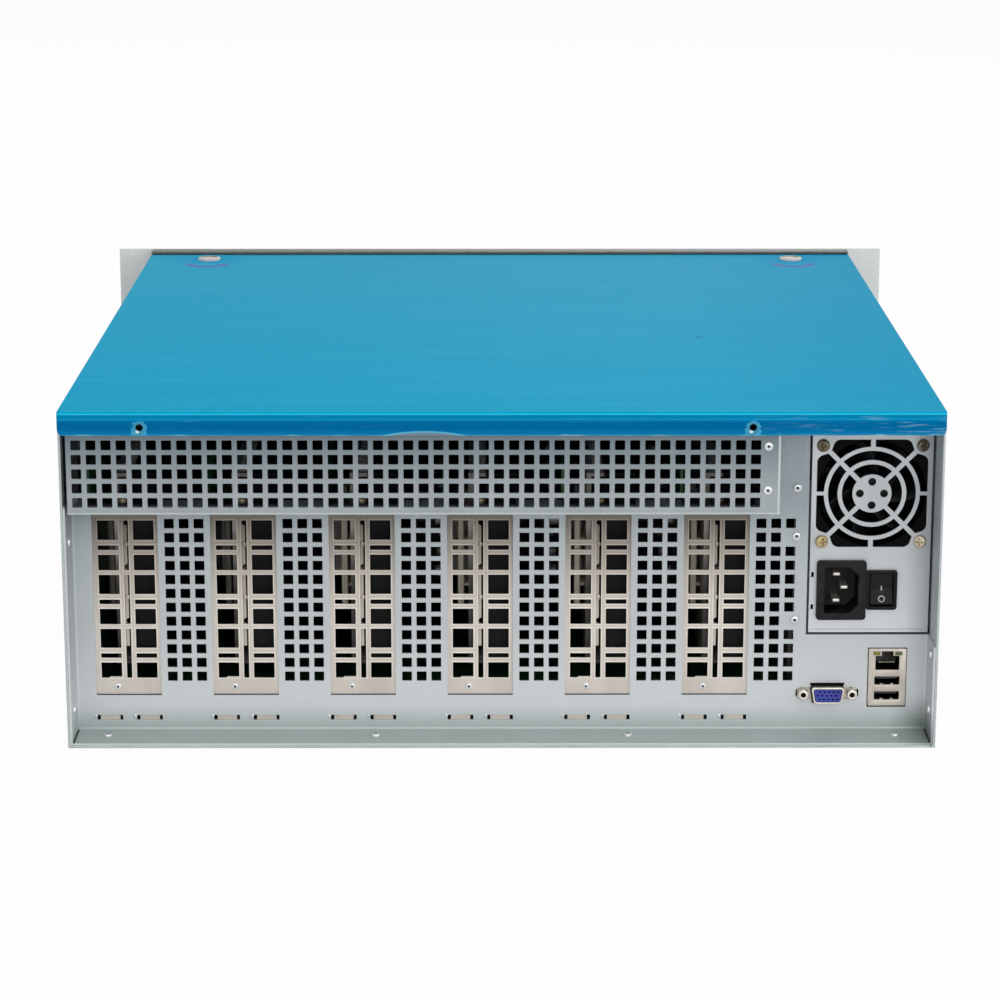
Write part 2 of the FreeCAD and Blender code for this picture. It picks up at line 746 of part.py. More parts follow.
opening_reach = grille_opening / 2
opening_side = opening_reach * 0.65
corner_tip = opening_reach * 0.76
grille_hole = prism("grille_hole", REAR_VIEW, (psu_middle, case_finish, psu_fan_level), [
    (-opening_side, -opening_reach), (opening_side, -opening_reach), (corner_tip, -corner_tip),
    (opening_reach, -opening_side), (opening_reach, opening_side), (corner_tip, corner_tip),
    (opening_side, opening_reach), (-opening_side, opening_reach), (-corner_tip, corner_tip),
    (-opening_reach, opening_side), (-opening_reach, -opening_side), (-corner_tip, -corner_tip)], through_case)
outer_ring = cut("grille_outer", fan_disc("ring_edge", grille_opening * 0.434),
                 [fan_disc("ring_bore", grille_opening * 0.396)])
inner_ring = cut("grille_inner", fan_disc("ring_edge", grille_opening * 0.31),
                 [fan_disc("ring_bore", grille_opening * 0.271)])
spoke_half = 1.6
spoke_reach = opening_reach * 1.2
grille_bars = [outer_ring, inner_ring, fan_disc("grille_disc", grille_opening * 0.177)]
for quarter in range(4):
    grille_bars.append(bar_at("grille_spoke", 45 + 90 * quarter, as_size(1), spoke_reach, spoke_half))
    grille_bars.append(bar_at("grille_spur", 90 * quarter, grille_opening * 0.42, opening_reach + 1,
                              spoke_half * 0.85))
grille_tool = cut("grille_tool", grille_hole, [fuse("grille_bars", grille_bars)])
disc_hole_reach = 6.1
disc_hole_radius = 2
disc_holes = [
    facet_rod("disc_hole", "y", (psu_middle + disc_hole_reach * across, case_start,
                                 psu_fan_level + disc_hole_reach * upward),
              disc_hole_radius, through_case, SCREW_SIDES)
    for across, upward in ((1, 0), (-1, 0), (0, 1), (0, -1))]

inlet_left_margin = 3.6
inlet_low_margin = 7
rocker_left_margin = 28.8
inlet_across = psu_left + inlet_left_margin + inlet_width / 2
inlet_level = psu_low + inlet_low_margin + inlet_height / 2
inlet_body = (inlet_width / 2 - 2.3, inlet_height / 2 - 1.7)
rocker_across = psu_left + rocker_left_margin + rocker_width / 2
rocker_level = inlet_level
rocker_body = (rocker_width / 2 - 1.2, rocker_height / 2 - 1.1)


def case_window(name, across, level, half):
    gap = 0.2
    return block(name, (across - half[0] - gap, across + half[0] + gap), (case_start, case_finish),
                 (level - half[1] - gap, level + half[1] + gap))


lead_hole_radius = 10
lead_hole = facet_rod("lead_hole", "y", (psu_middle, psu_inner_front - 1, psu_low + psu_height / 2),
                      lead_hole_radius, psu_sheet + 2, SMALL_ROUND)
notch_depth = 2.2
notch_half = 1.3
edge_notches = [
    block("edge_notch", (psu_left - 1, psu_left + notch_depth), (case_start, psu_inner_back),
          (psu_low + rise - notch_half, psu_low + rise + notch_half)) for rise in (30.5, 13.5)]
case_cuts = [grille_tool, lead_hole] + disc_holes + edge_notches
case_cuts.append(case_window("inlet_window", inlet_across, inlet_level, inlet_body))
case_cuts.append(case_window("rocker_window", rocker_across, rocker_level, rocker_body))
finish(cut("psu_case", case_walls, case_cuts), "psu_case")
lid_along = (psu_inner_back, psu_inner_front)
finish(fuse("psu_lid", [
    block("lid_top", (psu_left, psu_right), lid_along, (psu_top - psu_sheet, psu_top)),
    block("lid_left", (psu_left, psu_left + psu_sheet), lid_along, (psu_low, psu_top)),
    block("lid_right", (psu_right - psu_sheet, psu_right), lid_along, (psu_low, psu_top))]), "psu_lid")

# Power supply fan behind the grille: its motor base is on the inner side
psu_fan_depth = 25
psu_base_depth = 2.5
psu_rotor_gap = 1.2
psu_rotor_depth = psu_fan_depth - psu_base_depth - psu_rotor_gap - hub_gap
psu_fan_room = psu_fan_side - 1.6
fan_frame("psu_fan_frame", psu_middle, psu_inner_back, psu_fan_level, psu_fan_room, psu_fan_depth,
          psu_inner_back + psu_fan_depth - psu_base_depth, psu_base_depth)
fan_rotor("psu_fan_rotor", psu_middle, psu_inner_back + psu_rotor_gap, psu_fan_level, psu_fan_room,
          as_size(psu_rotor_depth), FAN_BLADES)

fan_screw_reach = psu_fan_spacing / 2
fan_screw_height = 1.8
fan_screw_radius = 3.6
finish(group("psu_fan_screws", [
    facet_rod("psu_fan_screw", "y", (psu_middle + fan_screw_reach * across, panel_outer - fan_screw_height,
                                     psu_fan_level + fan_screw_reach * upward),
              fan_screw_radius, fan_screw_height, SCREW_SIDES)
    for across in (-1, 1) for upward in (-1, 1)]), "psu_fan_screws")

# Power supply board with its posts, transformer and capacitors in one solid
psu_floor_top = psu_low + psu_sheet
psu_board_low = psu_floor_top + 4
psu_board_high = psu_board_low + board_thickness
psu_board_back = psu_inner_back + psu_fan_depth + 6
psu_board_front = psu_inner_front - 6
psu_post = 3
psu_board_margin = 4
post_inset = 5
psu_board_parts = [block("psu_plate", (psu_left + psu_board_margin, psu_right - psu_board_margin),
                         (psu_board_back, psu_board_front), (psu_board_low, psu_board_high))]
for post_across in (psu_left + psu_board_margin + psu_post, psu_right - psu_board_margin - psu_post):
    for post_along in (psu_board_back + post_inset, psu_board_front - post_inset):
        psu_board_parts.append(block("psu_post", (post_across - psu_post, post_across + psu_post),
                                     (post_along - psu_post, post_along + psu_post),
                                     (psu_floor_top, psu_board_low)))
for start, length, reach, tall in ((12, 28, 16, 30), (56, 40, 20, 38), (112, 30, 12, 45)):
    psu_board_parts.append(block("psu_component", (psu_middle - reach, psu_middle + reach),
                                 (psu_board_back + start, psu_board_back + start + length),
                                 (psu_board_high, psu_board_high + tall)))
finish(fuse("psu_board", psu_board_parts), "psu_board")

# Power inlet with the two slanted corners at its right, and its three pins
inlet_proud = 2
inlet_back = panel_outer + 18
inlet_front = panel_outer - inlet_proud
inlet_floor = panel_outer + 15
cavity_left = -inlet_width / 2 + 4
cavity_right = inlet_width / 2 - 3.9
cavity_half = inlet_height / 2 - 3.4
cavity_corner = 4.5
inlet_solid = fuse("inlet_solid", [
    block("inlet_flange", (inlet_across - inlet_width / 2, inlet_across + inlet_width / 2),
          (inlet_front, panel_outer), (inlet_level - inlet_height / 2, inlet_level + inlet_height / 2)),
    block("inlet_block", (inlet_across - inlet_body[0], inlet_across + inlet_body[0]),
          (inlet_front, inlet_back), (inlet_level - inlet_body[1], inlet_level + inlet_body[1]))])
inlet_cavity = prism("inlet_cavity", REAR_VIEW, (inlet_across, inlet_floor, inlet_level), [
    (cavity_left, -cavity_half), (cavity_right - cavity_corner, -cavity_half),
    (cavity_right, -cavity_half + cavity_corner), (cavity_right, cavity_half - cavity_corner),
    (cavity_right - cavity_corner, cavity_half), (cavity_left, cavity_half)], 24)
finish(cut("power_inlet", inlet_solid, [inlet_cavity]), "power_inlet")
pin_length = 11
pin_half_wide = 2
pin_half_thick = 1
finish(group("inlet_pins", [
    block("inlet_pin", (inlet_across + across - pin_half_wide, inlet_across + across + pin_half_wide),
          (inlet_floor - pin_length, inlet_floor),
          (inlet_level + upward - pin_half_thick, inlet_level + upward + pin_half_thick))
    for across, upward in ((-2, 7), (2, 0), (-2, -7))]), "inlet_pins")

# Rocker switch: bezel, and a paddle with its upper end pressed in
bezel_proud = 1.6
bezel_front = panel_outer - bezel_proud
bezel_back = panel_outer + 14
paddle_room = (rocker_width / 2 - 1.8, rocker_height / 2 - 1.8)
bezel_solid = fuse("bezel_solid", [
    block("bezel_flange", (rocker_across - rocker_width / 2, rocker_across + rocker_width / 2),
          (bezel_front, panel_outer), (rocker_level - rocker_height / 2, rocker_level + rocker_height / 2)),
    block("bezel_block", (rocker_across - rocker_body[0], rocker_across + rocker_body[0]),
          (bezel_front, bezel_back), (rocker_level - rocker_body[1], rocker_level + rocker_body[1]))])
bezel_hollow = block("bezel_hollow", (rocker_across - paddle_room[0], rocker_across + paddle_room[0]),
                     (bezel_front - 1, bezel_back - 1.5),
                     (rocker_level - paddle_room[1], rocker_level + paddle_room[1]))
finish(cut("rocker_bezel", bezel_solid, [bezel_hollow]), "rocker_bezel")

paddle_pivot = panel_outer + 2
paddle_half_long = paddle_room[1] - 0.8
paddle_half_wide = paddle_room[0] - 0.3
paddle_crown = 3.6
paddle_waist = 2
paddle_root = 4
paddle = prism("rocker_paddle", SIDE_VIEW, (-paddle_half_wide, 0, 0), [
    (-paddle_crown, paddle_half_long), (-paddle_waist, 0), (-paddle_crown, -paddle_half_long),
    (0, -paddle_half_long), (paddle_root, -3), (paddle_root, 3), (0, paddle_half_long)], paddle_half_wide * 2)
PADDLE_TILT = -9
set_place(paddle, Rotation(Vector(1, 0, 0), PADDLE_TILT), (rocker_across, paddle_pivot, rocker_level))
finish(paddle, "rocker_paddle")

# Bracket that carries the power supply: shelf, side wall and the rear flange riveted to the panel
shelf_sheet = 1.2
shelf_front = psu_front - 20
bracket_flange_left = psu_left - 8.2
bracket_high = psu_low + 80
finish(fuse("psu_bracket", [
    block("bracket_shelf", (bracket_flange_left, inner_half), (panel_inner, shelf_front),
          (psu_low - shelf_sheet, psu_low)),
    block("bracket_side", (psu_left - shelf_sheet, psu_left), (panel_inner, shelf_front),
          (psu_low, bracket_high)),
    block("bracket_flange", (bracket_flange_left, psu_left), (panel_inner, panel_inner + shelf_sheet),
          (psu_low - shelf_sheet, bracket_high))]), "psu_bracket")

# Main board on its standoffs
board_back = panel_inner + 1
board_front = board_back + board_depth
finish(block("main_board", (-board_width / 2, board_width / 2), (board_back, board_front),
             (board_bottom, board_top)), "main_board")
HEXAGON = 6
standoff_edge = 8
standoff_radius = 2.9
standoff_steps = 5
standoff_pitch = (board_width - 2 * standoff_edge) / (standoff_steps - 1)
standoffs = []
for step in range(standoff_steps):
    standoff_across = -board_width / 2 + standoff_edge + standoff_pitch * step
    for standoff_along in (board_back + standoff_edge, board_front - standoff_edge):
        standoffs.append(facet_rod("standoff", "z", (standoff_across, standoff_along, tray_sheet),
                                   standoff_radius, board_bottom - tray_sheet, HEXAGON))
finish(group("board_standoffs", standoffs), "board_standoffs")

# Card sockets and one power socket beside each of them
bracket_inner = panel_inner + bracket_sheet
card_board_left = -18.9
card_board_middle = card_board_left + 0.8
finger_back = bracket_inner + 52
finger_length = 84
socket_half = 3.8
socket_height = 11.2
socket_end = 2.5
groove_half = 1
groove_end = 0.5
groove_low = 3
power_socket_height = 13
sockets = []
for index in range(CARDS):
    socket_across = card_middle(index) + card_board_middle
    socket = block("socket", (socket_across - socket_half, socket_across + socket_half),
                   (finger_back - socket_end, finger_back + finger_length + socket_end),
                   (board_top, board_top + socket_height))
    groove = block("socket_groove", (socket_across - groove_half, socket_across + groove_half),
                   (finger_back - groove_end, finger_back + finger_length + groove_end),
                   (board_top + groove_low, board_top + socket_height + 1))
    sockets.append(cut("card_socket", socket, [groove]))
    sockets.append(block("power_socket", (socket_across + 6, socket_across + 20),
                         (board_front - 12, board_front - 2), (board_top, board_top + power_socket_height)))
finish(group("board_sockets", sockets), "board_sockets")

# Processor cooler, memory and storage on the board below the power supply
cooler_left = psu_left - 5
cooler_back = board_back + 52
cooler_side = 56
cooler_base = 5
cooler_fins = 7
cooler_pitch = (cooler_side - 2) / (cooler_fins - 1)
cooler_height = 28
cooler_along = (cooler_back, cooler_back + cooler_side)
cooler_parts = [block("cooler_base", (cooler_left, cooler_left + cooler_side), cooler_along,
                      (board_top, board_top + cooler_base))]
for fin in range(cooler_fins):
    fin_left = cooler_left + cooler_pitch * fin
    cooler_parts.append(block("cooler_fin", (fin_left, fin_left + 2), cooler_along,
                              (board_top + cooler_base - 1, board_top + cooler_height)))
finish(fuse("cpu_cooler", cooler_parts), "cpu_cooler")
finish(block("memory_module", (cooler_left, cooler_left + 60), (board_front - 72, board_front - 42),
             (board_top, board_top + 5)), "memory_module")
finish(block("storage_module", (cooler_left, cooler_left + 50), (board_front - 36, board_front - 6),
             (board_top, board_top + 4)), "storage_module")

# Video port: metal shell, insert and the two hexagonal jack screws
vga_half = 15.4
vga_depth = 14
vga_height = 12.6
vga_front = panel_outer - 5.5


def port_outline(half, tall):
    """Outline of the port, wider at its top."""
    slant = tall * 0.17
    return [(-half + slant, -tall), (half - slant, -tall), (half + slant, tall), (-half - slant, tall)]


vga_base = (vga_across, panel_inner, vga_level)
vga_length = panel_inner - vga_front
vga_tube = cut("vga_tube", prism("vga_edge", REAR_VIEW, vga_base, port_outline(7.7, 4.2), vga_length),
               [prism("vga_bore", REAR_VIEW, (vga_across, panel_inner + 1, vga_level), port_outline(7.1, 3.6),
                      vga_length + 2)])
vga_block = block("vga_block", (vga_across - vga_half, vga_across + vga_half),
                  (panel_inner, panel_inner + vga_depth), (board_top, board_top + vga_height))
finish(fuse("vga_shell", [vga_tube, vga_block]), "vga_shell")
finish(prism("vga_insert", REAR_VIEW, vga_base, port_outline(6.8, 3.3), vga_length - 0.5), "vga_insert")
jack_screw_radius = 2.9
jack_screw_length = 4.5
finish(group("vga_screws", [
    facet_rod("vga_screw", "y", (vga_across + vga_screw_spacing / 2 * side, panel_outer - jack_screw_length,
                                 vga_level), jack_screw_radius, jack_screw_length + panel_sheet, HEXAGON)
    for side in (-1, 1)]), "vga_screws")

# Network jack above two USB ports in one shell
jack_front = panel_outer - 1
jack_half = jack_width / 2
network_low = board_top + 19.1
network_shoulder = network_low + 7.6
usb_lows = (3.2, 11.2)
usb_height = 4.5
usb_half = 6.4
usb_floor = jack_front + 13
jack_depth = 21
network_depth = 15
network_half = 6.1
network_step = network_shoulder - network_low
latch_half = 3
latch_high = 10
jack_box = block("jack_box", (jack_across - jack_half, jack_across + jack_half),
                 (jack_front, jack_front + jack_depth), (board_top, board_top + jack_height))
jack_cuts = [prism("network_cavity", REAR_VIEW, (jack_across, jack_front + network_depth, network_low), [
    (-network_half, 0), (network_half, 0), (network_half, network_step), (latch_half, network_step),
    (latch_half, latch_high), (-latch_half, latch_high), (-latch_half, network_step),
    (-network_half, network_step)], network_depth + 1)]
tongue_inset = 0.8
usb_tongue_length = 10
tongues = []
for usb_low in usb_lows:
    usb_bottom = board_top + usb_low
    jack_cuts.append(block("usb_cavity", (jack_across - usb_half, jack_across + usb_half),
                           (jack_front - 1, usb_floor), (usb_bottom, usb_bottom + usb_height)))
    tongue_reach = usb_half - tongue_inset
    tongues.append(block("usb_tongue", (jack_across - tongue_reach, jack_across + tongue_reach),
                         (usb_floor - usb_tongue_length, usb_floor), (usb_bottom + 2.3, usb_bottom + 4.1)))
finish(cut("network_usb_shell", jack_box, jack_cuts), "network_usb_shell")
finish(group("usb_tongues", tongues), "usb_tongues")
port_light_proud = 0.3
port_light_reach = 5.6
port_light_half = 1.8
port_lights = []
for side in (-1, 1):
    light_across = jack_across + port_light_reach * side
    port_lights.append(block("port_light", (light_across - port_light_half, light_across + port_light_half),
                             (jack_front - port_light_proud, jack_front),
                             (network_shoulder + 0.4, network_shoulder + 2.3)))
finish(group("port_lights", port_lights), "port_lights")

# Card brackets: plate with three periods of windows, two tongues and the tab over the ledge
tongue_half = 5.1
tongue_low = 4
plate_low = 14
window_rows = ((0, 8.2), (10.7, 13.1), (16, 26.2))
window_columns = ((-14, -3.5), (4.1, 14.6))
middle_slot = (-1, 1.6)
bracket_half = bracket_width / 2
tab_reach = 11
for index in range(CARDS):
    middle = card_middle(index)
    bracket = new_body("card_bracket_%d" % (index + 1))
    face = new_sketch(bracket, "XZ_Plane", -panel_inner)
    left_tongue = middle - slot_spacing / 2
    right_tongue = middle + slot_spacing / 2
    draw_outline(face, [
        (middle - bracket_half, plate_low), (left_tongue - tongue_half, plate_low),
        (left_tongue - tongue_half, tongue_low), (left_tongue + tongue_half, tongue_low),
        (left_tongue + tongue_half, plate_low), (right_tongue - tongue_half, plate_low),
        (right_tongue - tongue_half, tongue_low), (right_tongue + tongue_half, tongue_low),
        (right_tongue + tongue_half, plate_low), (middle + bracket_half, plate_low),
        (middle + bracket_half, ledge_top + bracket_sheet),
        (middle - bracket_half, ledge_top + bracket_sheet)])
    pad(bracket, face, bracket_sheet, towards_front=True)
    tab = new_sketch(bracket, "XZ_Plane", -panel_inner)
    draw_outline(tab, rectangle((middle - bracket_half + 1, middle + bracket_half - 1),
                                (ledge_top, ledge_top + bracket_sheet)))
    pad(bracket, tab, tab_reach + panel_sheet)
    windows = new_sketch(bracket, "XZ_Plane", -panel_inner)
    for left, right in window_columns:
        for low, high in window_rows:
            draw_outline(windows, rectangle((middle + left, middle + right),
                                            (window_low + low, window_low + high)))
    draw_outline(windows, rectangle((middle + middle_slot[0], middle + middle_slot[1]),
                                    (window_low, window_low + window_rows[-1][1])))
    openings = pocket(bracket, windows, bracket_sheet * 4)
    rise = bracket.newObject("PartDesign::LinearPattern", bracket.Name + "_rise")
    rise.Originals = [openings]
    rise.Direction = (origin_part(bracket, "Z_Axis"), [""])
    rise.Mode = "Spacing"
    bind(rise, "Offset", window_period)
    rise.Occurrences = 3
    bracket.Tip = rise
    finish(bracket, "card_bracket_%d" % (index + 1))

# Card boards with their edge fingers
card_back = bracket_inner
card_front = card_back + card_length
card_low = board_top + socket_height + 3
finger_low = board_top + 4
finger_front = finger_back + finger_length
card_outline = [
    (card_back, card_low), (finger_back, card_low), (finger_back, finger_low), (finger_front, finger_low),
    (finger_front, card_low), (card_front, card_low), (card_front, card_top), (card_back, card_top)]
for index in range(CARDS):
    node = "card_board_%d" % (index + 1)
    board_left = card_middle(index) + card_board_left
    finish(prism(node, SIDE_VIEW, (board_left, 0, 0), card_outline, board_thickness), node)

# Heat sinks (base, fins and pedestal on the board) and the channel-shaped shrouds beside them
sink_low = card_low + 6
sink_high = card_top - 4
sink_back = card_back + 6
sink_front = card_front - 6
sink_left = -6
sink_base = 2.5
sink_right = 3
sink_fins = 3
fin_thick = 2
fin_pitch = (sink_high - sink_low - fin_thick) / (sink_fins - 1)
shroud_right = 18.5
shroud_wall = 1.5
sinks = []
shrouds = []
for index in range(CARDS):
    middle = card_middle(index)
    parts = [
        block("sink_base", (middle + sink_left, middle + sink_left + sink_base), (sink_back, sink_front),
              (sink_low, sink_high)),
        block("sink_pedestal", (middle + card_board_left + board_thickness, middle + sink_left),
              (finger_back + 20, finger_back + 62), (sink_low + 30, sink_low + 72))]
    for fin in range(sink_fins):
        fin_low = sink_low + fin_pitch * fin
        parts.append(block("sink_fin", (middle + sink_left + sink_base, middle + sink_right),
                           (sink_back, sink_front), (fin_low, fin_low + fin_thick)))
    sinks.append(fuse("heat_sink", parts))
    shroud_edge = middle + shroud_right
    shrouds.append(prism("shroud", REAR_VIEW, (0, sink_front, 0), [
        (middle + sink_right, sink_low), (shroud_edge, sink_low), (shroud_edge, sink_high),
        (middle + sink_right, sink_high), (middle + sink_right, sink_high - shroud_wall),
        (shroud_edge - shroud_wall, sink_high - shroud_wall),
        (shroud_edge - shroud_wall, sink_low + shroud_wall),
        (middle + sink_right, sink_low + shroud_wall)], sink_front - sink_back))
finish(group("card_heat_sinks", sinks), "card_heat_sinks")
finish(group("card_shrouds", shrouds), "card_shrouds")

card_screw_radius = 3.1
card_screw_height = 2.4
finish(group("card_screws", [
    facet_rod("card_screw", "z", (card_middle(index), panel_outer - tab_reach / 2, ledge_top + bracket_sheet),
              card_screw_radius, card_screw_height, SCREW_SIDES) for index in range(CARDS)]), "card_screws")

# Rivet heads on the panel, hood, side walls and floor
RIVET_TURN = {
    "rear": Rotation(Vector(1, 0, 0), 90), "up": Rotation(),
    "right": Rotation(Vector(0, 1, 0), 90), "left": Rotation(Vector(0, 1, 0), -90)}


rivet_radius = 2.3
rivet_height = 1.1


def rivet(facing, base):
    item = doc.addObject("Part::Prism", "rivet")
    item.Polygon = SCREW_SIDES
    bind(item, "Circumradius", rivet_radius)
    bind(item, "Height", rivet_height)
    set_place(item, RIVET_TURN[facing], base)
    return item


wall_rivet_along = rear_edge + 11
floor_rivet_along = rear_edge + 14
floor_rivet_edge = 18.7
floor_rivet_inner = 64.5
floor_rivets = (-half_width + floor_rivet_edge, -floor_rivet_inner, floor_rivet_inner,
                half_width - floor_rivet_edge)
rivets = [rivet("rear", (psu_left - 7.1, panel_outer, psu_low + rise)) for rise in (76, 50.8, 6.6)]
rivets += [rivet("rear", (hood_right - 6.5, hood_front, hood_low + rise)) for rise in (35.4, 12.9)]
rivets += [rivet("right", (-flange_inner, wall_rivet_along, level)) for level in (105.4, 17)]
rivets += [rivet("left", (flange_inner, wall_rivet_along, level)) for level in (46, 16.8)]
rivets += [rivet("up", (across, floor_rivet_along, flange_floor)) for across in floor_rivets]
finish(group("rivets", rivets), "rivets")

doc.recompute()
problems = [item.Label for item in doc.Objects if "Invalid" in item.State or "Error" in item.State]
for item in finished:
    if item.Shape.isNull() or not item.Shape.isValid() or not item.Shape.Solids:
        problems.append(item.Label)
if problems:
    raise SystemExit("not sound: " + ", ".join(problems))
for item in finished:
    item.Shape.exportStep(os.path.join("parts", item.Label + ".step"))
print(len(finished), "nodes written")
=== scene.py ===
import json
import math

import bmesh
import bpy
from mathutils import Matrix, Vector


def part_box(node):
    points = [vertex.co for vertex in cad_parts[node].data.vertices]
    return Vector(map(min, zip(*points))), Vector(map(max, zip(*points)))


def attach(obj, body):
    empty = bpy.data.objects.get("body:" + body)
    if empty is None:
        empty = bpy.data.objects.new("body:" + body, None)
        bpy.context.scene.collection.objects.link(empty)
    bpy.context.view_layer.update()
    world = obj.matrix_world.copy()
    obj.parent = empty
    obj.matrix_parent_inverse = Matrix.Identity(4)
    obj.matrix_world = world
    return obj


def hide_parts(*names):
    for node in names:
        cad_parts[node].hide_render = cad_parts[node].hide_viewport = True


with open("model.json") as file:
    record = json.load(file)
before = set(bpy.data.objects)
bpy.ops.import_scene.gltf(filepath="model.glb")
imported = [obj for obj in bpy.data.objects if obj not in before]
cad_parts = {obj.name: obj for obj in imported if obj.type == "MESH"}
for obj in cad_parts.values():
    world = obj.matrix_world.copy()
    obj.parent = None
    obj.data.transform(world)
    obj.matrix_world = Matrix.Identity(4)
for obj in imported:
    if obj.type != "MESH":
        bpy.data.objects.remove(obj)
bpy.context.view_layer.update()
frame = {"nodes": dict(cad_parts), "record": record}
MM = 0.001
SLOTS = {part["node"]: part["material_slot"] for part in frame["record"]["subparts"]}


def limits(node):
    """Lowest and highest corner of a node, in millimetres."""
    return [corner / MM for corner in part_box(node)]


def middle_of(node):
    return sum(limits(node), Vector()) / 2


def about(middle, half):
    return (middle - half, middle + half)


def metres(values):
    return [value * MM for value in values]


# Main levels of the server, in millimetres: X to the right, Y from connectors to ears, Z up
SHEET = 1
HALF_WIDTH = 220
LID_LOW, LID_TOP = 174, 175
LID_END = 225
LIP_FACE = -226
LIP_LOW = 163
LIP_HOLES = ((-179.3, 167.1), (124.3, 167.1))
LID_CAPS = ((-182, 208), (182, 208))
PANEL_FACE, PANEL_BACK = -201, -200
HOOD_FACE = -224
FLOOR_TOP = 2.2
WALL_FACE = 217.8
CARD_PITCH = 60
CARD_CENTRES = [-191 + CARD_PITCH * slot for slot in range(6)]
CASE_LOW, CASE_HIGH = limits("psu_case")
HOOD_LOW, HOOD_HIGH = limits("vent_hood")
INLET_LOW, INLET_HIGH = limits("power_inlet")
SWITCH_LOW, SWITCH_HIGH = limits("rocker_bezel")
JACK_LOW, JACK_HIGH = limits("network_usb_shell")
JACK_ACROSS = (JACK_LOW.x + JACK_HIGH.x) / 2
FAN_CENTRE = middle_of("psu_fan_frame")
INLET_CENTRE = middle_of("power_inlet")
SWITCH_CENTRE = middle_of("rocker_bezel")
VIDEO_CENTRE = middle_of("vga_insert")


def from_face(near, far):
    return (PANEL_FACE + near, PANEL_FACE + far)


def from_back(near, far):
    return (PANEL_BACK + near, PANEL_BACK + far)


# Turns, and the places of patterns that every card has or that four corners have
STILL = (0, 0, 0)
OUT_OF_PANEL = (90, 0, 0)
AT_CARDS = [((across, 0, 0), STILL) for across in CARD_CENTRES]
SIDES = (-1, 1)
CORNERS = [(side, rise) for side in SIDES for rise in SIDES]


# Modelling helpers

def clear_selection():
    bpy.ops.object.select_all(action="DESELECT")


def settle():
    bpy.ops.object.transform_apply(location=True, rotation=True, scale=True)


def settle_new(name):
    """The piece that was just added, named and settled."""
    piece = bpy.context.object
    piece.name = name
    settle()
    return piece


def add_block(name, across, along, upward):
    clear_selection()
    ranges = (across, along, upward)
    bpy.ops.mesh.primitive_cube_add(size=1, location=[(low + high) / 2 * MM for low, high in ranges])
    bpy.context.object.scale = [(high - low) * MM for low, high in ranges]
    return settle_new(name)


def box_block(name, low, high, along=None):
    """Block between two corners, perhaps with a depth of its own."""
    return add_block(name, (low.x, high.x), along or (low.y, high.y), (low.z, high.z))


ROD_TURNS = {"x": (0, math.pi / 2, 0), "y": (math.pi / 2, 0, 0), "z": STILL}


def add_rod(name, axis, centre, radius, length, sides):
    clear_selection()
    bpy.ops.mesh.primitive_cylinder_add(vertices=sides, radius=radius * MM, depth=length * MM,
                                        location=metres(centre), rotation=ROD_TURNS[axis])
    return settle_new(name)


def make_active(piece):
    clear_selection()
    piece.select_set(True)
    bpy.context.view_layer.objects.active = piece


def open_piece(piece, kind, action="DESELECT"):
    make_active(piece)
    bpy.ops.object.mode_set(mode="EDIT")
    bpy.ops.mesh.select_mode(type=kind)
    bpy.ops.mesh.select_all(action=action)


def close_piece():
    bpy.ops.object.mode_set(mode="OBJECT")


def open_faces(piece, wanted):
    open_piece(piece, "FACE")
    shape = bmesh.from_edit_mesh(piece.data)
    for face in shape.faces:
        face.select_set(wanted(face.calc_center_median() / MM, face.normal))
    bmesh.update_edit_mesh(piece.data)


def open_edges(piece, wanted):
    open_piece(piece, "EDGE")
    shape = bmesh.from_edit_mesh(piece.data)
    for edge in shape.edges:
        start, end = [corner.co / MM for corner in edge.verts]
        edge.select_set(wanted((start + end) / 2, end - start))
    bmesh.update_edit_mesh(piece.data)


def deep(spot, run):
    """Whether an edge runs along Y."""
    return abs(run.y) > 0.1


def above(level):
    return lambda spot, run: spot.z > level


def nearer(level):
    """Picks what lies nearer to the connector side than a level."""
    return lambda spot, run: spot.y < level


def facing(axis, way):
    """Picks faces that look along an axis, forward with way 1 and backward with way -1."""
    return lambda spot, normal: getattr(normal, axis) * way > 0.95


def round_edges(piece, radius, steps, wanted):
    open_edges(piece, wanted)
    bpy.ops.mesh.bevel(offset=radius * MM, segments=steps, affect="EDGES", profile=0.5)
    close_piece()


def move_edges(piece, wanted, move):
    open_edges(piece, wanted)
    bpy.ops.transform.translate(value=metres(move))
    close_piece()


def push_faces(piece, wanted, move, margin=0):
    open_faces(piece, wanted)
    if margin:
        bpy.ops.mesh.inset(thickness=margin * MM)
    bpy.ops.mesh.extrude_region_move(TRANSFORM_OT_translate={"value": metres(move)})
    close_piece()


def slice_piece(piece, point, normal):
    open_piece(piece, "FACE", "SELECT")
    bpy.ops.mesh.bisect(plane_co=metres(point), plane_no=normal)
    close_piece()


def remove_faces(piece, wanted):
    open_faces(piece, wanted)
    bpy.ops.mesh.delete(type="FACE")
    close_piece()


def apply_modifier(piece, kind, **values):
    make_active(piece)
    step = piece.modifiers.new(kind.lower(), kind)
    for label, value in values.items():
        setattr(step, label, value)
    bpy.ops.object.modifier_apply(modifier=step.name)


def carve(piece, *tools):
    for tool in tools:
        apply_modifier(piece, "BOOLEAN", object=tool, operation="DIFFERENCE", solver="EXACT")
        bpy.data.objects.remove(tool)
    return piece


def cut(piece, across, along, upward):
    return carve(piece, add_block("cutter", across, along, upward))


def drill(piece, centre, radius, length, sides, axis="y"):
    return carve(piece, add_rod("drill", axis, centre, radius, length, sides))


def soften(piece, width, steps=2, angle=35):
    if width:
        apply_modifier(piece, "BEVEL", width=width * MM, segments=steps, limit_method="ANGLE",
                       angle_limit=math.radians(angle), use_clamp_overlap=True)
    make_active(piece)
    bpy.ops.object.shade_smooth_by_angle(angle=math.radians(angle))
    return piece


def array_piece(piece, count, step):
    apply_modifier(piece, "ARRAY", count=count, use_relative_offset=False, use_constant_offset=True,
                   constant_offset_displace=metres(step))


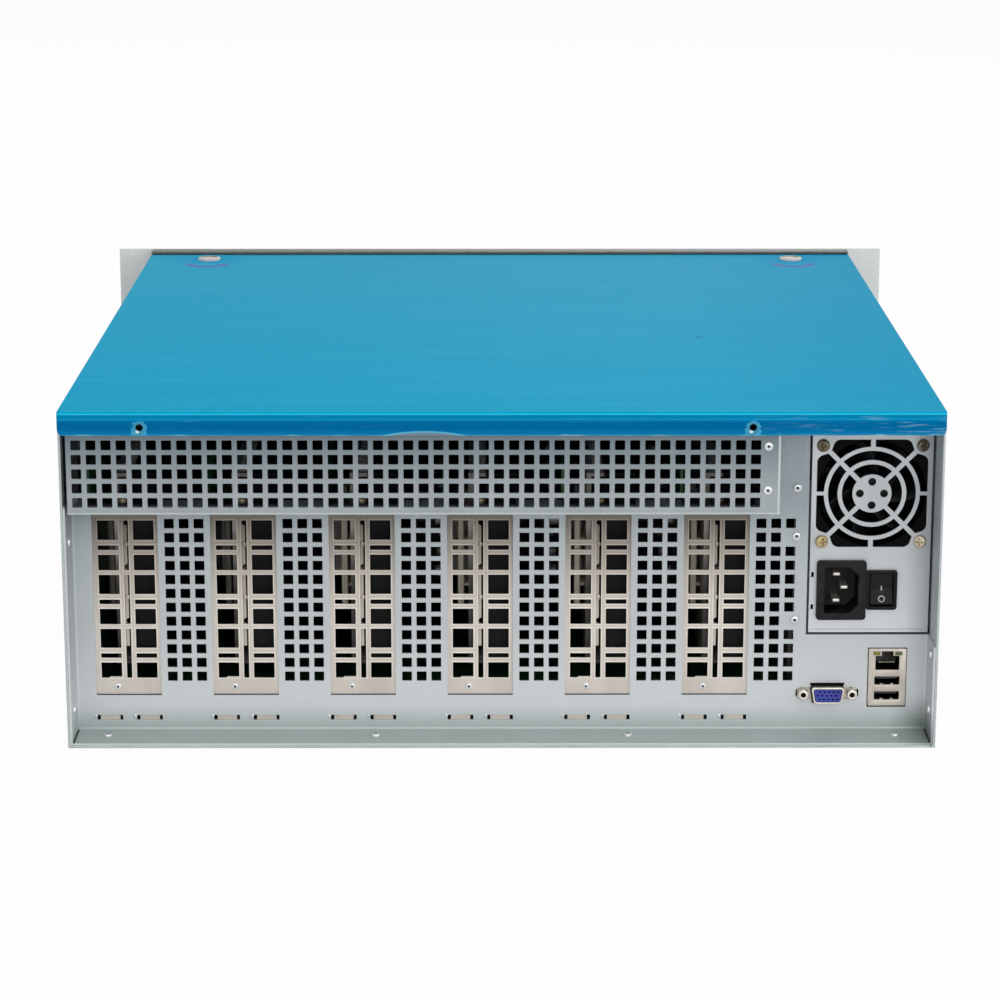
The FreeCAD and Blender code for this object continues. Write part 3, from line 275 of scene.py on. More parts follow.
def add_to_scene(name, data):
    piece = bpy.data.objects.new(name, data)
    bpy.context.scene.collection.objects.link(piece)
    return piece


def copy_piece(piece, name, place, turn=STILL):
    twin = add_to_scene(name, piece.data.copy())
    twin.location = metres(place)
    twin.rotation_euler = [math.radians(angle) for angle in turn]
    make_active(twin)
    settle()
    return twin


def move_piece(piece, place, turn=STILL):
    moved = copy_piece(piece, piece.name, place, turn)
    bpy.data.objects.remove(piece)
    return moved


def join_pieces(name, members):
    clear_selection()
    for member in members:
        member.select_set(True)
    bpy.context.view_layer.objects.active = members[0]
    if len(members) > 1:
        bpy.ops.object.join()
    members[0].name = name
    return members[0]


def repeat_pattern(pattern, name, spots):
    members = [copy_piece(pattern, name, place, turn) for place, turn in spots]
    bpy.data.objects.remove(pattern)
    return join_pieces(name, members)


def copy_node(node, name, edge, steps=1):
    """A copy of a node's mesh, merged, with its sharp edges rounded."""
    piece = add_to_scene(name, frame["nodes"][node].data.copy())
    open_piece(piece, "VERT", "SELECT")
    bpy.ops.mesh.remove_doubles(threshold=1e-6)
    bpy.ops.mesh.dissolve_limited(angle_limit=math.radians(1))
    close_piece()
    bpy.ops.mesh.customdata_custom_splitnormals_clear()
    return soften(piece, edge, steps)


def button(radius, height, sides, rounding, steps, base=0, sink=0, margin=0):
    """Round head on its base level, with a rounded top edge and perhaps a sunk middle."""
    head = add_rod("button", "z", (0, 0, base + height / 2), radius, height, sides)
    round_edges(head, rounding, steps, above(base + height - 0.05))
    if sink:
        push_faces(head, facing("z", 1), (0, 0, -sink), margin)
    return soften(head, 0)


def dress(piece, slot, finish=None, body="chassis", nodes=()):
    piece.data.materials.clear()
    piece.data.materials.append(finish or FINISHES[slot])
    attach(piece, body)
    if nodes:
        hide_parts(*nodes)


def stand_for(piece, node, body="chassis", finish=None):
    dress(piece, SLOTS[node], finish, body, [node])


# Shader helpers

def tint(red, green, blue):
    """Linear colour of a screen colour with shares up to 255."""
    shares = [value / 255 for value in (red, green, blue)]
    return [share / 12.92 if share <= 0.04045 else ((share + 0.055) / 1.055) ** 2.4 for share in shares] + [1]


def put(tree, kind, inputs=(), **settings):
    node = tree.nodes.new(kind)
    for label, value in settings.items():
        setattr(node, label, value)
    for socket, value in dict(inputs).items():
        if isinstance(value, bpy.types.NodeSocket):
            tree.links.new(value, node.inputs[socket])
        else:
            node.inputs[socket].default_value = value
    return node


def put_beside(kind, inputs, **settings):
    """A node in the tree of the first of its inputs that is a socket."""
    tree = next(value.id_data for value in inputs.values() if isinstance(value, bpy.types.NodeSocket))
    return put(tree, kind, inputs, **settings)


def calc(operation, first, second=0.0):
    return put_beside("ShaderNodeMath", {0: first, 1: second}, operation=operation).outputs[0]


def both(first, second):
    return calc("MULTIPLY", first, second)


def apart(first, second):
    return calc("ABSOLUTE", calc("SUBTRACT", first, second))


def spread(value, low, high, start=0.0, end=1.0):
    """Runs from start to end while the value runs from low to high."""
    return put_beside("ShaderNodeMapRange", {"Value": value, "From Min": low, "From Max": high,
                                             "To Min": start, "To Max": end}).outputs[0]


def between(value, low, high, start=0.0, end=1.0):
    """The same for a length, with its limits in millimetres."""
    return spread(value, low * MM, high * MM, start, end)


def tone(share, first, second):
    return put_beside("ShaderNodeMix", {0: share, 6: first, 7: second}, data_type="RGBA").outputs[2]


def fade(colour, level, start, end, share, shade):
    """Blends a shade into a colour between two levels, in millimetres."""
    return tone(between(level, start, end, 0, share), colour, tint(*shade))


def object_place(tree):
    return put(tree, "ShaderNodeTexCoord").outputs["Object"]


def object_axes(tree):
    return put(tree, "ShaderNodeSeparateXYZ", {0: object_place(tree)}).outputs


def stretched_place(tree, stretch):
    inputs = {0: object_place(tree), 1: stretch}
    return put(tree, "ShaderNodeVectorMath", inputs, operation="MULTIPLY").outputs[0]


def distance(place, point):
    inputs = {0: place, 1: metres(point)}
    return put_beside("ShaderNodeVectorMath", inputs, operation="DISTANCE").outputs["Value"]


def noise(place, scale, **more):
    return put_beside("ShaderNodeTexNoise", {"Vector": place, "Scale": scale, **more}).outputs["Fac"]


def new_finish(name, metallic, specular):
    material = bpy.data.materials.new(name)
    material.use_nodes = True
    shader = material.node_tree.nodes["Principled BSDF"]
    shader.inputs["Metallic"].default_value = metallic
    shader.inputs["Specular IOR Level"].default_value = specular
    return material, material.node_tree, shader.inputs


# Camera, lamps, world and floor

WHITE = (1, 1, 1, 1)
PAPER = (0.9, 0.9, 0.9, 1)


def set_camera():
    clear_selection()
    bpy.ops.object.camera_add(location=(-0.0042, -1.7502, 0.5193),
                              rotation=(math.radians(75.68), 0, math.radians(-0.123)))
    camera = bpy.context.object
    camera.name = "studio_camera"
    camera.data.sensor_width = 36
    camera.data.lens = 113.93
    bpy.context.scene.camera = camera


def add_lamp(name, place, target, size, power):
    clear_selection()
    aim = (Vector(target) - Vector(place)).to_track_quat("-Z", "Y")
    bpy.ops.object.light_add(type="AREA", location=place, rotation=aim.to_euler())
    lamp = bpy.context.object
    lamp.name = name
    lamp.data.shape = "RECTANGLE"
    lamp.data.size, lamp.data.size_y = size
    lamp.data.energy = power


def seen_white(tree):
    """One for rays that are seen, straight on or in something shiny or clear, and zero for the others."""
    path = put(tree, "ShaderNodeLightPath").outputs
    seen = calc("MAXIMUM", path["Is Camera Ray"], path["Is Glossy Ray"])
    return calc("MAXIMUM", seen, path["Is Transmission Ray"])


def mix_surface(tree, share, first, second, output):
    choice = put(tree, "ShaderNodeMixShader", {0: share, 1: first.outputs[0], 2: second.outputs[0]})
    tree.links.new(choice.outputs[0], tree.nodes[output].inputs["Surface"])


def set_world():
    world = bpy.data.worlds.new("studio_room")
    bpy.context.scene.world = world
    world.use_nodes = True
    tree = world.node_tree
    room = tree.nodes["Background"]
    room.inputs["Color"].default_value = WHITE
    room.inputs["Strength"].default_value = 0.5
    white = put(tree, "ShaderNodeBackground", {"Color": WHITE, "Strength": 1})
    mix_surface(tree, seen_white(tree), room, white, "World Output")


def set_floor():
    clear_selection()
    bpy.ops.mesh.primitive_plane_add(size=12, location=(0, 0, -0.0004))
    floor = settle_new("studio_floor")
    material, tree, sockets = new_finish("studio_paper", 0, 0)
    sockets["Base Color"].default_value = PAPER
    sockets["Roughness"].default_value = 0.9
    glow = put(tree, "ShaderNodeEmission", {"Strength": 1})
    mix_surface(tree, both(seen_white(tree), 0.95), tree.nodes["Principled BSDF"], glow, "Material Output")
    floor.data.materials.append(material)


set_camera()
set_world()
set_floor()
add_lamp("overhead_softbox", (-0.2, -0.55, 2.1), (0, -0.05, 0.1), (2.6, 2.0), 19)
add_lamp("front_fill", (0.6, -2.6, 0.8), (0, -0.2, 0.1), (2.2, 1.4), 20)
add_lamp("right_fill", (2.0, -0.9, 0.8), (0, -0.1, 0.1), (1.2, 1.0), 9)
add_lamp("far_fill", (0.8, 2.4, 1.2), (0, 0.2, 0.1), (2.0, 1.4), 12)
bpy.context.scene.view_settings.view_transform = "Standard"


# Shared textures: the grain of a sheet, hair scratches, and rubbed edges that also carry a painted edge
# highlight

def new_group(name, inputs, outputs):
    group = bpy.data.node_groups.new(name, "ShaderNodeTree")
    for label, value in inputs.items():
        kind = "NodeSocketVector" if isinstance(value, tuple) else "NodeSocketFloat"
        group.interface.new_socket(label, in_out="INPUT", socket_type=kind).default_value = value
    for label in outputs:
        group.interface.new_socket(label, in_out="OUTPUT", socket_type="NodeSocketFloat")
    return group, group.nodes.new("NodeGroupInput").outputs, group.nodes.new("NodeGroupOutput").inputs


def build_grain_group():
    group, given, result = new_group(
        "sheet_grain", {"Stretch": (1, 1, 1), "Scale": 60, "Low": 0.35, "High": 0.65}, ["Mask", "Fine"])
    place = stretched_place(group, given["Stretch"])
    broad = noise(place, given["Scale"], Detail=5, Roughness=0.6)
    group.links.new(spread(broad, given["Low"], given["High"]), result["Mask"])
    group.links.new(noise(place, both(given["Scale"], 17), Detail=3), result["Fine"])
    return group


def build_scratch_group():
    group, given, result = new_group("hair_scratches", {"Stretch": (8, 8, 260), "Amount": 0.5}, ["Mask"])
    lines = noise(stretched_place(group, given["Stretch"]), 3, Detail=4, Roughness=0.7)
    patches = noise(stretched_place(group, (9, 9, 9)), 2)
    scratches = both(spread(lines, 0.6, 0.72), spread(patches, 0.45, 0.65))
    group.links.new(both(scratches, given["Amount"]), result["Mask"])
    return group


# Lightens pointy edges: partly rubbed wear, partly a painted highlight where edges catch light.
def build_edge_group():
    group, given, result = new_group("rubbed_and_shining_edges", {"Amount": 0.5}, ["Mask"])
    bend = put(group, "ShaderNodeNewGeometry").outputs["Pointiness"]
    rub_and_shine = noise(object_place(group), 300)
    worn_and_shine = both(spread(bend, 0.53, 0.62), spread(rub_and_shine, 0.3, 0.6))
    group.links.new(both(worn_and_shine, given["Amount"]), result["Mask"])
    return group


SHEET_GRAIN = build_grain_group()
HAIR_SCRATCHES = build_scratch_group()
RUBBED_AND_SHINING_EDGES = build_edge_group()


def use_group(tree, group, **inputs):
    return put(tree, "ShaderNodeGroup", inputs, node_tree=group).outputs


# Finishes

def surface_finish(name, light, dark, rough, metallic=0.0, specular=0.5, stretch=(1, 1, 1), scale=45,
                   bump=0.1, scratches=0.0, scratch_run=(8, 8, 260), worn_and_shine=0.0, rub_and_shine=(200, 200, 200),
                   fades=(), shade=None):
    """Grained finish; fades lists the axis, start, end, share and colour of tones that come in along it."""
    material, tree, sockets = new_finish(name, metallic, specular)
    grain = use_group(tree, SHEET_GRAIN, Stretch=stretch, Scale=scale)
    colour = tone(grain["Mask"], tint(*dark), tint(*light))
    for axis, start, end, share, mixed in fades:
        colour = fade(colour, object_axes(tree)[axis], start, end, share, mixed)
    if shade:
        colour = shade(tree, colour)
    if scratches:
        lines = use_group(tree, HAIR_SCRATCHES, Stretch=scratch_run, Amount=scratches)
        colour = tone(lines["Mask"], colour, tint(*rub_and_shine))
    # Edge mask: rubbed wear together with a painted edge highlight.
    if worn_and_shine:
        colour = tone(use_group(tree, RUBBED_AND_SHINING_EDGES, Amount=worn_and_shine)["Mask"], colour, tint(*rub_and_shine))
    tree.links.new(colour, sockets["Base Color"])
    tree.links.new(spread(grain["Fine"], 0.3, 0.7, *rough), sockets["Roughness"])
    relief = put(tree, "ShaderNodeBump", {"Strength": bump, "Distance": 0.0003, "Height": grain["Fine"]})
    tree.links.new(relief.outputs[0], sockets["Normal"])
    return material


def tray_shade(tree, colour):
    """Zinc spangles, and darker inner faces of the side walls as painted shade, stronger on the right wall.
    """
    cells = put(tree, "ShaderNodeTexVoronoi", {"Vector": stretched_place(tree, (1, 1, 0.7)), "Scale": 130})
    spangle = put(tree, "ShaderNodeSeparateXYZ", {0: cells.outputs["Color"]}).outputs["X"]
    colour = tone(spread(spangle, 0, 1, 0, 0.22), colour, tint(200, 207, 209))
    across = object_axes(tree)["X"]
    reach = calc("ABSOLUTE", across)
    shaded_inner_wall = both(between(reach, 217, 217.4), between(reach, 218.6, 218.2))
    # Share of the painted wall shade, larger on the right side.
    depth = between(across, -100, 100, 0.35, 0.6)
    return tone(both(shaded_inner_wall, depth), colour, tint(88, 94, 96))


def panel_shade(tree, colour):
    """Painted shade in the lower right corner by the wall, and a painted shadow on the part of the panel
    behind the hood.
    """
    axes = object_axes(tree)
    corner = both(between(axes["X"], 200, 216.5), between(axes["Z"], 21, 6, 0, 0.6))
    colour = tone(corner, colour, tint(84, 94, 92))
    hood_shadow = both(between(axes["Z"], 124.5, 127), between(axes["X"], 138.5, 137.5))
    return tone(hood_shadow, colour, tint(34, 37, 41))


def sink_shade(tree, colour):
    """Painted shade on the ends of the heat sinks, deepest low down."""
    axes = object_axes(tree)
    end = limits("card_heat_sinks")[0].y
    depth = between(axes["Z"], 80, 100, 0.92, 0.5)
    shaded_end = between(axes["Y"], end + 3, end + 0.5)
    return tone(both(shaded_end, depth), colour, tint(22, 20, 18))


def fan_screw_shade(tree, colour):
    """Plating that differs from corner to corner of the fan."""
    axes = object_axes(tree)
    across = about(FAN_CENTRE.x, 1)
    upper = fade(tint(88, 78, 60), axes["X"], *across, 1, (96, 86, 76))
    lower = fade(tint(186, 166, 122), axes["X"], *across, 1, (200, 188, 166))
    plating = tone(between(axes["Z"], *about(FAN_CENTRE.z, 1)), lower, upper)
    return tone(0.75, colour, plating)


def port_light_shade(tree, colour):
    """Yellow lamp on the left and green lamp on the right."""
    lamps = fade(tint(116, 112, 12), object_axes(tree)["X"], *about(JACK_ACROSS, 1), 1, (62, 84, 26))
    return tone(0.85, colour, lamps)


VIDEO_RIM = limits("vga_shell")[0].y
FINISHES = {
    "galvanised_steel": surface_finish(
        "galvanised_sheet", (172, 180, 181), (164, 172, 174), (0.4, 0.55), 0.4, stretch=(1, 1, 0.35),
        scale=30, bump=0.06, scratches=0.25, rub_and_shine=(205, 212, 214), shade=tray_shade),
    "screw_steel": surface_finish(
        "pale_cap_steel", (206, 204, 196), (186, 184, 178), (0.5, 0.6), 0.2, specular=0.15,
        fades=[("Y", 203.5, 202, 0.3, (190, 150, 190))]),
    "ear_paint": surface_finish(
        "ear_grey_paint", (207, 212, 212), (200, 206, 206), (0.45, 0.6), scale=120, bump=0.25, worn_and_shine=0.3,
        rub_and_shine=(225, 225, 222)),
    "frame_paint": surface_finish(
        "frame_dark_paint", (85, 87, 81), (76, 78, 73), (0.45, 0.6), scale=120, bump=0.25, worn_and_shine=0.3,
        rub_and_shine=(185, 188, 186)),
    "filter_foam": surface_finish(
        "filter_foam", (58, 59, 61), (18, 18, 20), (0.85, 0.95), specular=0.1, scale=420, bump=0.9),
    "board_green": surface_finish(
        "board_lacquer", (38, 104, 62), (20, 74, 42), (0.3, 0.45), scale=90, bump=0.15, scratches=0.35,
        scratch_run=(40, 400, 40), rub_and_shine=(70, 140, 84)),
    "light_pipe": surface_finish(
        "light_pipe", (150, 178, 96), (118, 150, 64), (0.15, 0.3), scale=200, bump=0.05),
    "black_plastic": surface_finish(
        "moulded_black", (17, 17, 19), (11, 11, 12), (0.32, 0.5), specular=0.15, scale=150, bump=0.2,
        worn_and_shine=0.15, rub_and_shine=(60, 61, 64)),
    "handle_metal": surface_finish(
        "handle_black_coat", (62, 63, 66), (44, 45, 48), (0.4, 0.52), 0.3, scale=180, bump=0.3, worn_and_shine=0.5,
        rub_and_shine=(130, 131, 134)),
    # Its fades are painted light: lighter lower down, a painted shadow of the lip at the top, and painted
    # shade along the right edge.
    "psu_steel": surface_finish(
        "power_case_steel", (184, 188, 190), (170, 175, 178), (0.35, 0.5), 0.4, stretch=(1, 1, 0.4), scale=40,
        bump=0.05, scratches=0.2, rub_and_shine=(222, 225, 226),
        fades=[("Z", 105, 60, 0.8, (203, 205, 209)), ("Z", 157, 163.5, 0.6, (128, 131, 135)),
               ("X", CASE_HIGH.x - 12, CASE_HIGH.x, 0.4, (112, 114, 119))]),
    "screw_brass": surface_finish(
        "card_screw_plating", (176, 162, 128), (120, 108, 80), (0.25, 0.42), 0.8, scale=260, bump=0.15,
        worn_and_shine=0.6, rub_and_shine=(226, 220, 200)),
    "contact_metal": surface_finish(
        "bright_contact", (222, 218, 210), (196, 191, 183), (0.2, 0.36), 0.75, scale=300, bump=0.05),
    "sink_aluminium": surface_finish(
        "sink_aluminium", (206, 200, 194), (178, 172, 166), (0.35, 0.5), 0.4, stretch=(1, 0.2, 1), scale=80,
        bump=0.08, shade=sink_shade),
    "port_blue": surface_finish(
        "port_blue", (46, 58, 158), (36, 46, 134), (0.35, 0.5), scale=220, bump=0.12),
    # Its fades are painted shade: darker upwards under the hood, and dark above 121.5 mm behind the hood.
    "bracket_nickel": surface_finish(
        "bracket_nickel", (205, 198, 190), (191, 184, 175), (0.35, 0.5), 0.4, stretch=(1, 1, 0.3), scale=50,
        bump=0.05, scratches=0.3, rub_and_shine=(222, 218, 210),
        fades=[("Z", 60, 84, 0.9, (175, 166, 156)), ("Z", 84, 112, 0.92, (95, 89, 80)),
               ("Z", 121.5, 123, 1, (34, 32, 30))]),
    "rivet_metal": surface_finish(
        "rivet_bright", (220, 223, 224), (190, 194, 195), (0.2, 0.32), 0.6, scale=240, bump=0.1, worn_and_shine=0.4,
        rub_and_shine=(240, 240, 240)),
}
# Its fades are painted light: lighter towards the bottom, painted shade under the hood and at the floor bend,
# and a painted highlight on the flanges' front edges.
PANEL_STEEL = surface_finish(
    "panel_sheet_steel", (164, 173, 177), (150, 160, 164), (0.4, 0.55), 0.3, stretch=(4, 1, 0.15), scale=40,
    bump=0.06, scratches=0.2, rub_and_shine=(205, 212, 214), shade=panel_shade,
    fades=[("Z", 118, 70, 0.85, (184, 189, 191)), ("Z", 60, 20, 0.85, (203, 207, 209)),
           ("Z", 100, 124, 0.8, (136, 144, 149)), ("Z", 14, 4, 0.75, (157, 171, 168)),
           ("Y", -223.4, -223.8, 0.7, (208, 211, 212))])
# Its fades are painted light: a painted dark reflection towards the top, and painted highlights along the
# lower bend and the right fold.
HOOD_STEEL = surface_finish(
    "hood_sheet_steel", (154, 162, 165), (145, 153, 156), (0.38, 0.52), 0.3, stretch=(1, 1, 0.35), scale=30,
    bump=0.06, scratches=0.25, rub_and_shine=(190, 198, 200),
    fades=[("Z", 132, 163, 0.95, (94, 108, 116)), ("Z", 123.4, 122.6, 0.8, (212, 217, 219)),
           ("X", HOOD_HIGH.x - 1.7, HOOD_HIGH.x - 1.2, 0.8, (205, 210, 211))])
# Dark steel as painted shade: the shaded power supply bracket, strips in sheet gaps and the middles of rivets
# and studs.
PAINTED_SHADE_STEEL = surface_finish("painted_shade_steel", (46, 48, 50), (34, 36, 38), (0.45, 0.6), 0.3, scale=60)
FAN_SCREW = surface_finish(
    "fan_screw_plating", (150, 140, 112), (104, 96, 76), (0.25, 0.42), 0.7, scale=260, bump=0.15, worn_and_shine=0.7,
    rub_and_shine=(226, 222, 208), shade=fan_screw_shade)
PORT_LAMP = surface_finish(
    "port_lamp", (120, 124, 30), (96, 104, 24), (0.2, 0.3), scale=300, bump=0.05, shade=port_light_shade)
# Inside the cavities the steel fades to black as painted shade.
JACK_STEEL = surface_finish(
    "jack_shell_steel", (198, 189, 179), (182, 173, 163), (0.3, 0.45), 0.4, scale=160, bump=0.05, worn_and_shine=0.3,
    rub_and_shine=(226, 220, 210), fades=[("Y", JACK_LOW.y + 0.5, JACK_LOW.y + 1.6, 1, (8, 8, 9))])
# Paler than the bracket nickel as a painted highlight on the rims, and darker upwards as painted shade under
# the hood.
WINDOW_RIM = surface_finish(
    "window_rim_nickel", (224, 218, 210), (212, 205, 196), (0.3, 0.45), 0.4, stretch=(1, 1, 0.3), scale=50,
    bump=0.05, fades=[("Z", 70, 112, 0.9, (116, 108, 100))])
# Behind its front rim the tube is darkened as painted shade; the flange behind the panel keeps the bright
# steel colour.
VIDEO_STEEL = surface_finish(
    "video_shell_steel", (222, 216, 204), (200, 193, 182), (0.25, 0.4), 0.5, scale=240, bump=0.06,
    fades=[("Y", VIDEO_RIM + 0.7, VIDEO_RIM + 1.5, 0.96, (20, 19, 18)),
           ("Y", PANEL_BACK - 0.3, PANEL_BACK - 0.2, 1, (204, 196, 184))])
# Inside the inlet's cavity the black deepens as painted shade.
SOCKET_BLACK = surface_finish(
    "socket_black", (24, 24, 26), (16, 16, 18), (0.35, 0.5), specular=0.15, scale=150, bump=0.2, worn_and_shine=0.15,
    rub_and_shine=(60, 61, 64), fades=[("Y", INLET_LOW.y + 0.8, INLET_LOW.y + 3, 1, (7, 7, 8))])
MARK_WHITE = surface_finish("switch_mark", (168, 176, 178), (150, 158, 162), (0.4, 0.5), scale=300, bump=0.05)
TONGUE_DARK = surface_finish("tongue_dark", (56, 56, 70), (42, 42, 54), (0.3, 0.45), scale=200)
# Black plastic, a little darker than the moulded black as painted shade deep inside the cards.
SHROUD_DARK = surface_finish(
    "shroud_end_plastic", (11, 11, 12), (8, 8, 9), (0.45, 0.6), specular=0.12, scale=160, bump=0.3)
# Darker towards the left wall as painted shade inside the cards.
FIN_PALE = surface_finish(
    "fin_pale_metal", (252, 240, 224), (214, 200, 184), (0.35, 0.5), stretch=(7, 1, 0.12), scale=70, bump=0.1,
    fades=[("X", -85, -125, 0.85, (18, 17, 16))])
# Black below the plastics' own black, as painted shade in holes, gaps and behind the grille; the fan frame
# under it is black plastic.
PAINTED_SHADE_BLACK = surface_finish("painted_shade_black", (8, 8, 9), (4, 4, 5), (0.6, 0.8), specular=0.06, scale=200)


# Film on the cover: one colour for its flat top, one for its lip, darker as painted shade on the upright
# face, and one for the bend between them with a painted highlight

def film_top(tree, axes, creases, ragged):
    """Creases, specks and a violet crescent near each cap."""
    top = tone(between(axes["Y"], LIP_FACE, LID_END), tint(28, 155, 194), tint(48, 157, 191))
    top = tone(spread(creases, 0, 1, 0, 0.22), top, tint(62, 168, 202))
    top = fade(top, axes["X"], 110, 215, 0.6, (20, 144, 184))
    specks = put(tree, "ShaderNodeTexVoronoi", {"Vector": object_place(tree), "Scale": 17})
    top = tone(spread(specks.outputs["Distance"], 0.05, 0.03, 0, 0.5), top, tint(24, 92, 120))
    level_place = stretched_place(tree, (1, 1, 0))
    ring_radius, ring_shift = 11.6, 14
    for across, along in LID_CAPS:
        off_ring = apart(distance(level_place, (across, along - ring_shift, 0)), ring_radius * MM)
        off_ring = calc("ADD", off_ring, spread(ragged, 0.3, 0.7, -0.0006, 0.0006))
        crescent = both(between(off_ring, 3.6, 1.2, 0, 0.85), between(axes["Y"], along - 13, along - 19))
        top = tone(crescent, top, tint(104, 98, 166))
        near_cap = between(apart(axes["Y"], along * MM), 18, 4, 0, 0.5)
        beside = between(apart(axes["X"], across * MM), 26, 8)
        top = tone(both(near_cap, beside), top, tint(2, 138, 196))
    return top


# Painted highlight and shade bands along the lip's height: start, end, share and colour.
LIP_LIGHT_BANDS = (
    (166.8, 164.4, 0.9, (10, 112, 164)),
    (169.4, 170.4, 0.8, (3, 113, 162)),
    (170.6, 171, 0.7, (20, 142, 192)),
    (171.6, 172, 1, (2, 124, 164)),
    (164.1, 163.2, 0.8, (40, 134, 172)),
)


def film_lip(tree, axes, ragged):
    """Painted highlight and shade bands, a frayed lower edge that is lifted in one place, scuffs and torn
    holes.
    """
    # Deeper blue than the top, as painted shade on the upright face.
    lip = tint(1, 98, 148)
    for start, end, share, shade in LIP_LIGHT_BANDS:
        lip = fade(lip, axes["Z"], start, end, share, shade)
    frayed = noise(stretched_place(tree, (1, 0, 0)), 46, Detail=5)
    fray_height = 0.9
    fray_level = spread(frayed, 0.48, 0.7, LIP_LOW * MM, (LIP_LOW + fray_height) * MM)
    above_fray = calc("SUBTRACT", axes["Z"], fray_level)
    lip = tone(between(above_fray, 0.2, -0.4, 0, 0.7), lip, tint(132, 190, 210))
    lift_centre, lift_half, lift_height = -38.5, 22, 2.4
    lift = calc("POWER", between(apart(axes["X"], lift_centre * MM), 0, lift_half), 2)
    above_lift = calc("SUBTRACT", axes["Z"], spread(lift, 0, 1, (LIP_LOW + lift_height) * MM, LIP_LOW * MM))
    lip = tone(between(above_lift, 0.1, -0.2, 0, 0.8), lip, tint(96, 184, 214))
    lip = tone(between(above_lift, -0.6, -1, 0, 0.9), lip, tint(112, 122, 128))
    scuffs = use_group(tree, HAIR_SCRATCHES, Stretch=(10, 10, 420), Amount=0.3)
    lip = tone(scuffs["Mask"], lip, tint(120, 176, 202))
    rubbed = spread(noise(stretched_place(tree, (26, 26, 420)), 2.2, Detail=4), 0.56, 0.76, 0, 0.55)
    right_end = both(between(axes["X"], 130, 200, 0.2, 1), between(axes["X"], 122, 130))
    low_strip = between(axes["Z"], 171, 164.5, 0.5, 1)
    lip = tone(both(rubbed, both(right_end, low_strip)), lip, tint(176, 212, 226))
    flat = stretched_place(tree, (1, 0, 1))
    for across, level in LIP_HOLES:
        torn = calc("ADD", distance(flat, (across, 0, level)), spread(ragged, 0.3, 0.7, -0.0007, 0.0007))
        torn = calc("ADD", torn, between(axes["Z"], level - 0.5, LIP_LOW, 0, -0.0016))
        lip = tone(between(torn, 3.8, 3.1, 0, 0.7), lip, tint(78, 172, 208))
        lip = tone(between(torn, 2.9, 2.3, 0, 0.8), lip, tint(58, 128, 152))
        fleck = distance(flat, (across - 0.9, 0, level - 2))
        lip = tone(between(fleck, 1.2, 0.6, 0, 0.85), lip, tint(218, 230, 240))
    return lip


def film_finish():
    material, tree, sockets = new_finish("blue_film", 0.0, 0.006)
    axes = object_axes(tree)
    creases = use_group(tree, SHEET_GRAIN, Stretch=(0.6, 9, 1), Scale=9, Low=0.42, High=0.68)
    ragged = noise(object_place(tree), 700, Detail=2)
    # The bend lightens to a painted highlight along its crest.
    bend = fade(tint(5, 157, 198), axes["Z"], 174.3, 174, 0.75, (56, 194, 228))
    on_bend = between(axes["Y"], -224.9, -225.4)
    on_lip = both(between(axes["Z"], 173.9, 173.3), on_bend)
    colour = tone(on_bend, film_top(tree, axes, creases["Mask"], ragged), bend)
    colour = tone(on_lip, colour, film_lip(tree, axes, ragged))
    tree.links.new(colour, sockets["Base Color"])
    tree.links.new(spread(creases["Fine"], 0.3, 0.7, 0.42, 0.6), sockets["Roughness"])
    relief = put(tree, "ShaderNodeBump", {"Strength": 0.12, "Distance": 0.0004, "Height": creases["Mask"]})
    tree.links.new(relief.outputs[0], sockets["Normal"])
    return material


FINISHES["filmed_steel"] = film_finish()

for node, slot in SLOTS.items():
    for socket in frame["nodes"][node].material_slots:
        socket.material = FINISHES[slot]
# The galvanised power supply bracket gets the dark steel as painted shade in the gaps round the case.
for socket in frame["nodes"]["psu_bracket"].material_slots:
    socket.material = PAINTED_SHADE_STEEL


# Top cover with its rolled bend, lip holes and the two caps near the ears

def make_cover():
    lip_inner = LIP_FACE + SHEET
    bend_radius, corner_radius, hole_radius = 1.8, 3, 1.8
    cover = add_block("film_cover", about(0, HALF_WIDTH), (LIP_FACE, LID_END), (LID_LOW, LID_TOP))
    slice_piece(cover, (0, lip_inner, 0), (0, 1, 0))
    push_faces(cover, lambda spot, way: spot.y < lip_inner and way.z < -0.9, (0, 0, LIP_LOW - LID_LOW))
    round_edges(cover, bend_radius, 5,
                lambda spot, run: abs(run.x) > 9 and spot.y < LIP_FACE + 0.1 and spot.z > LID_TOP - 0.1)
    round_edges(cover, bend_radius - SHEET, 4, lambda spot, run: abs(run.x) > 9
                and abs(spot.y - lip_inner) < 0.1 and abs(spot.z - LID_LOW) < 0.1)
    round_edges(cover, corner_radius, 4, lambda spot, run: deep(spot, run) and spot.z < LIP_LOW + 0.1)
    for across, level in LIP_HOLES:
        drill(cover, (across, LIP_FACE, level), hole_radius, 6, 28)
    stand_for(soften(cover, 0.12, 1), "top_cover", "cover")
    cap = button(radius=7, height=1.2, sides=40, rounding=0.5, steps=3, sink=0.25, margin=1.6)
    spots = [((across, along, LID_TOP), STILL) for across, along in LID_CAPS]
    stand_for(repeat_pattern(cap, "cover_caps", spots), "cover_screws", "cover")


# Vent hood: a folded sheet with five rows of square vents

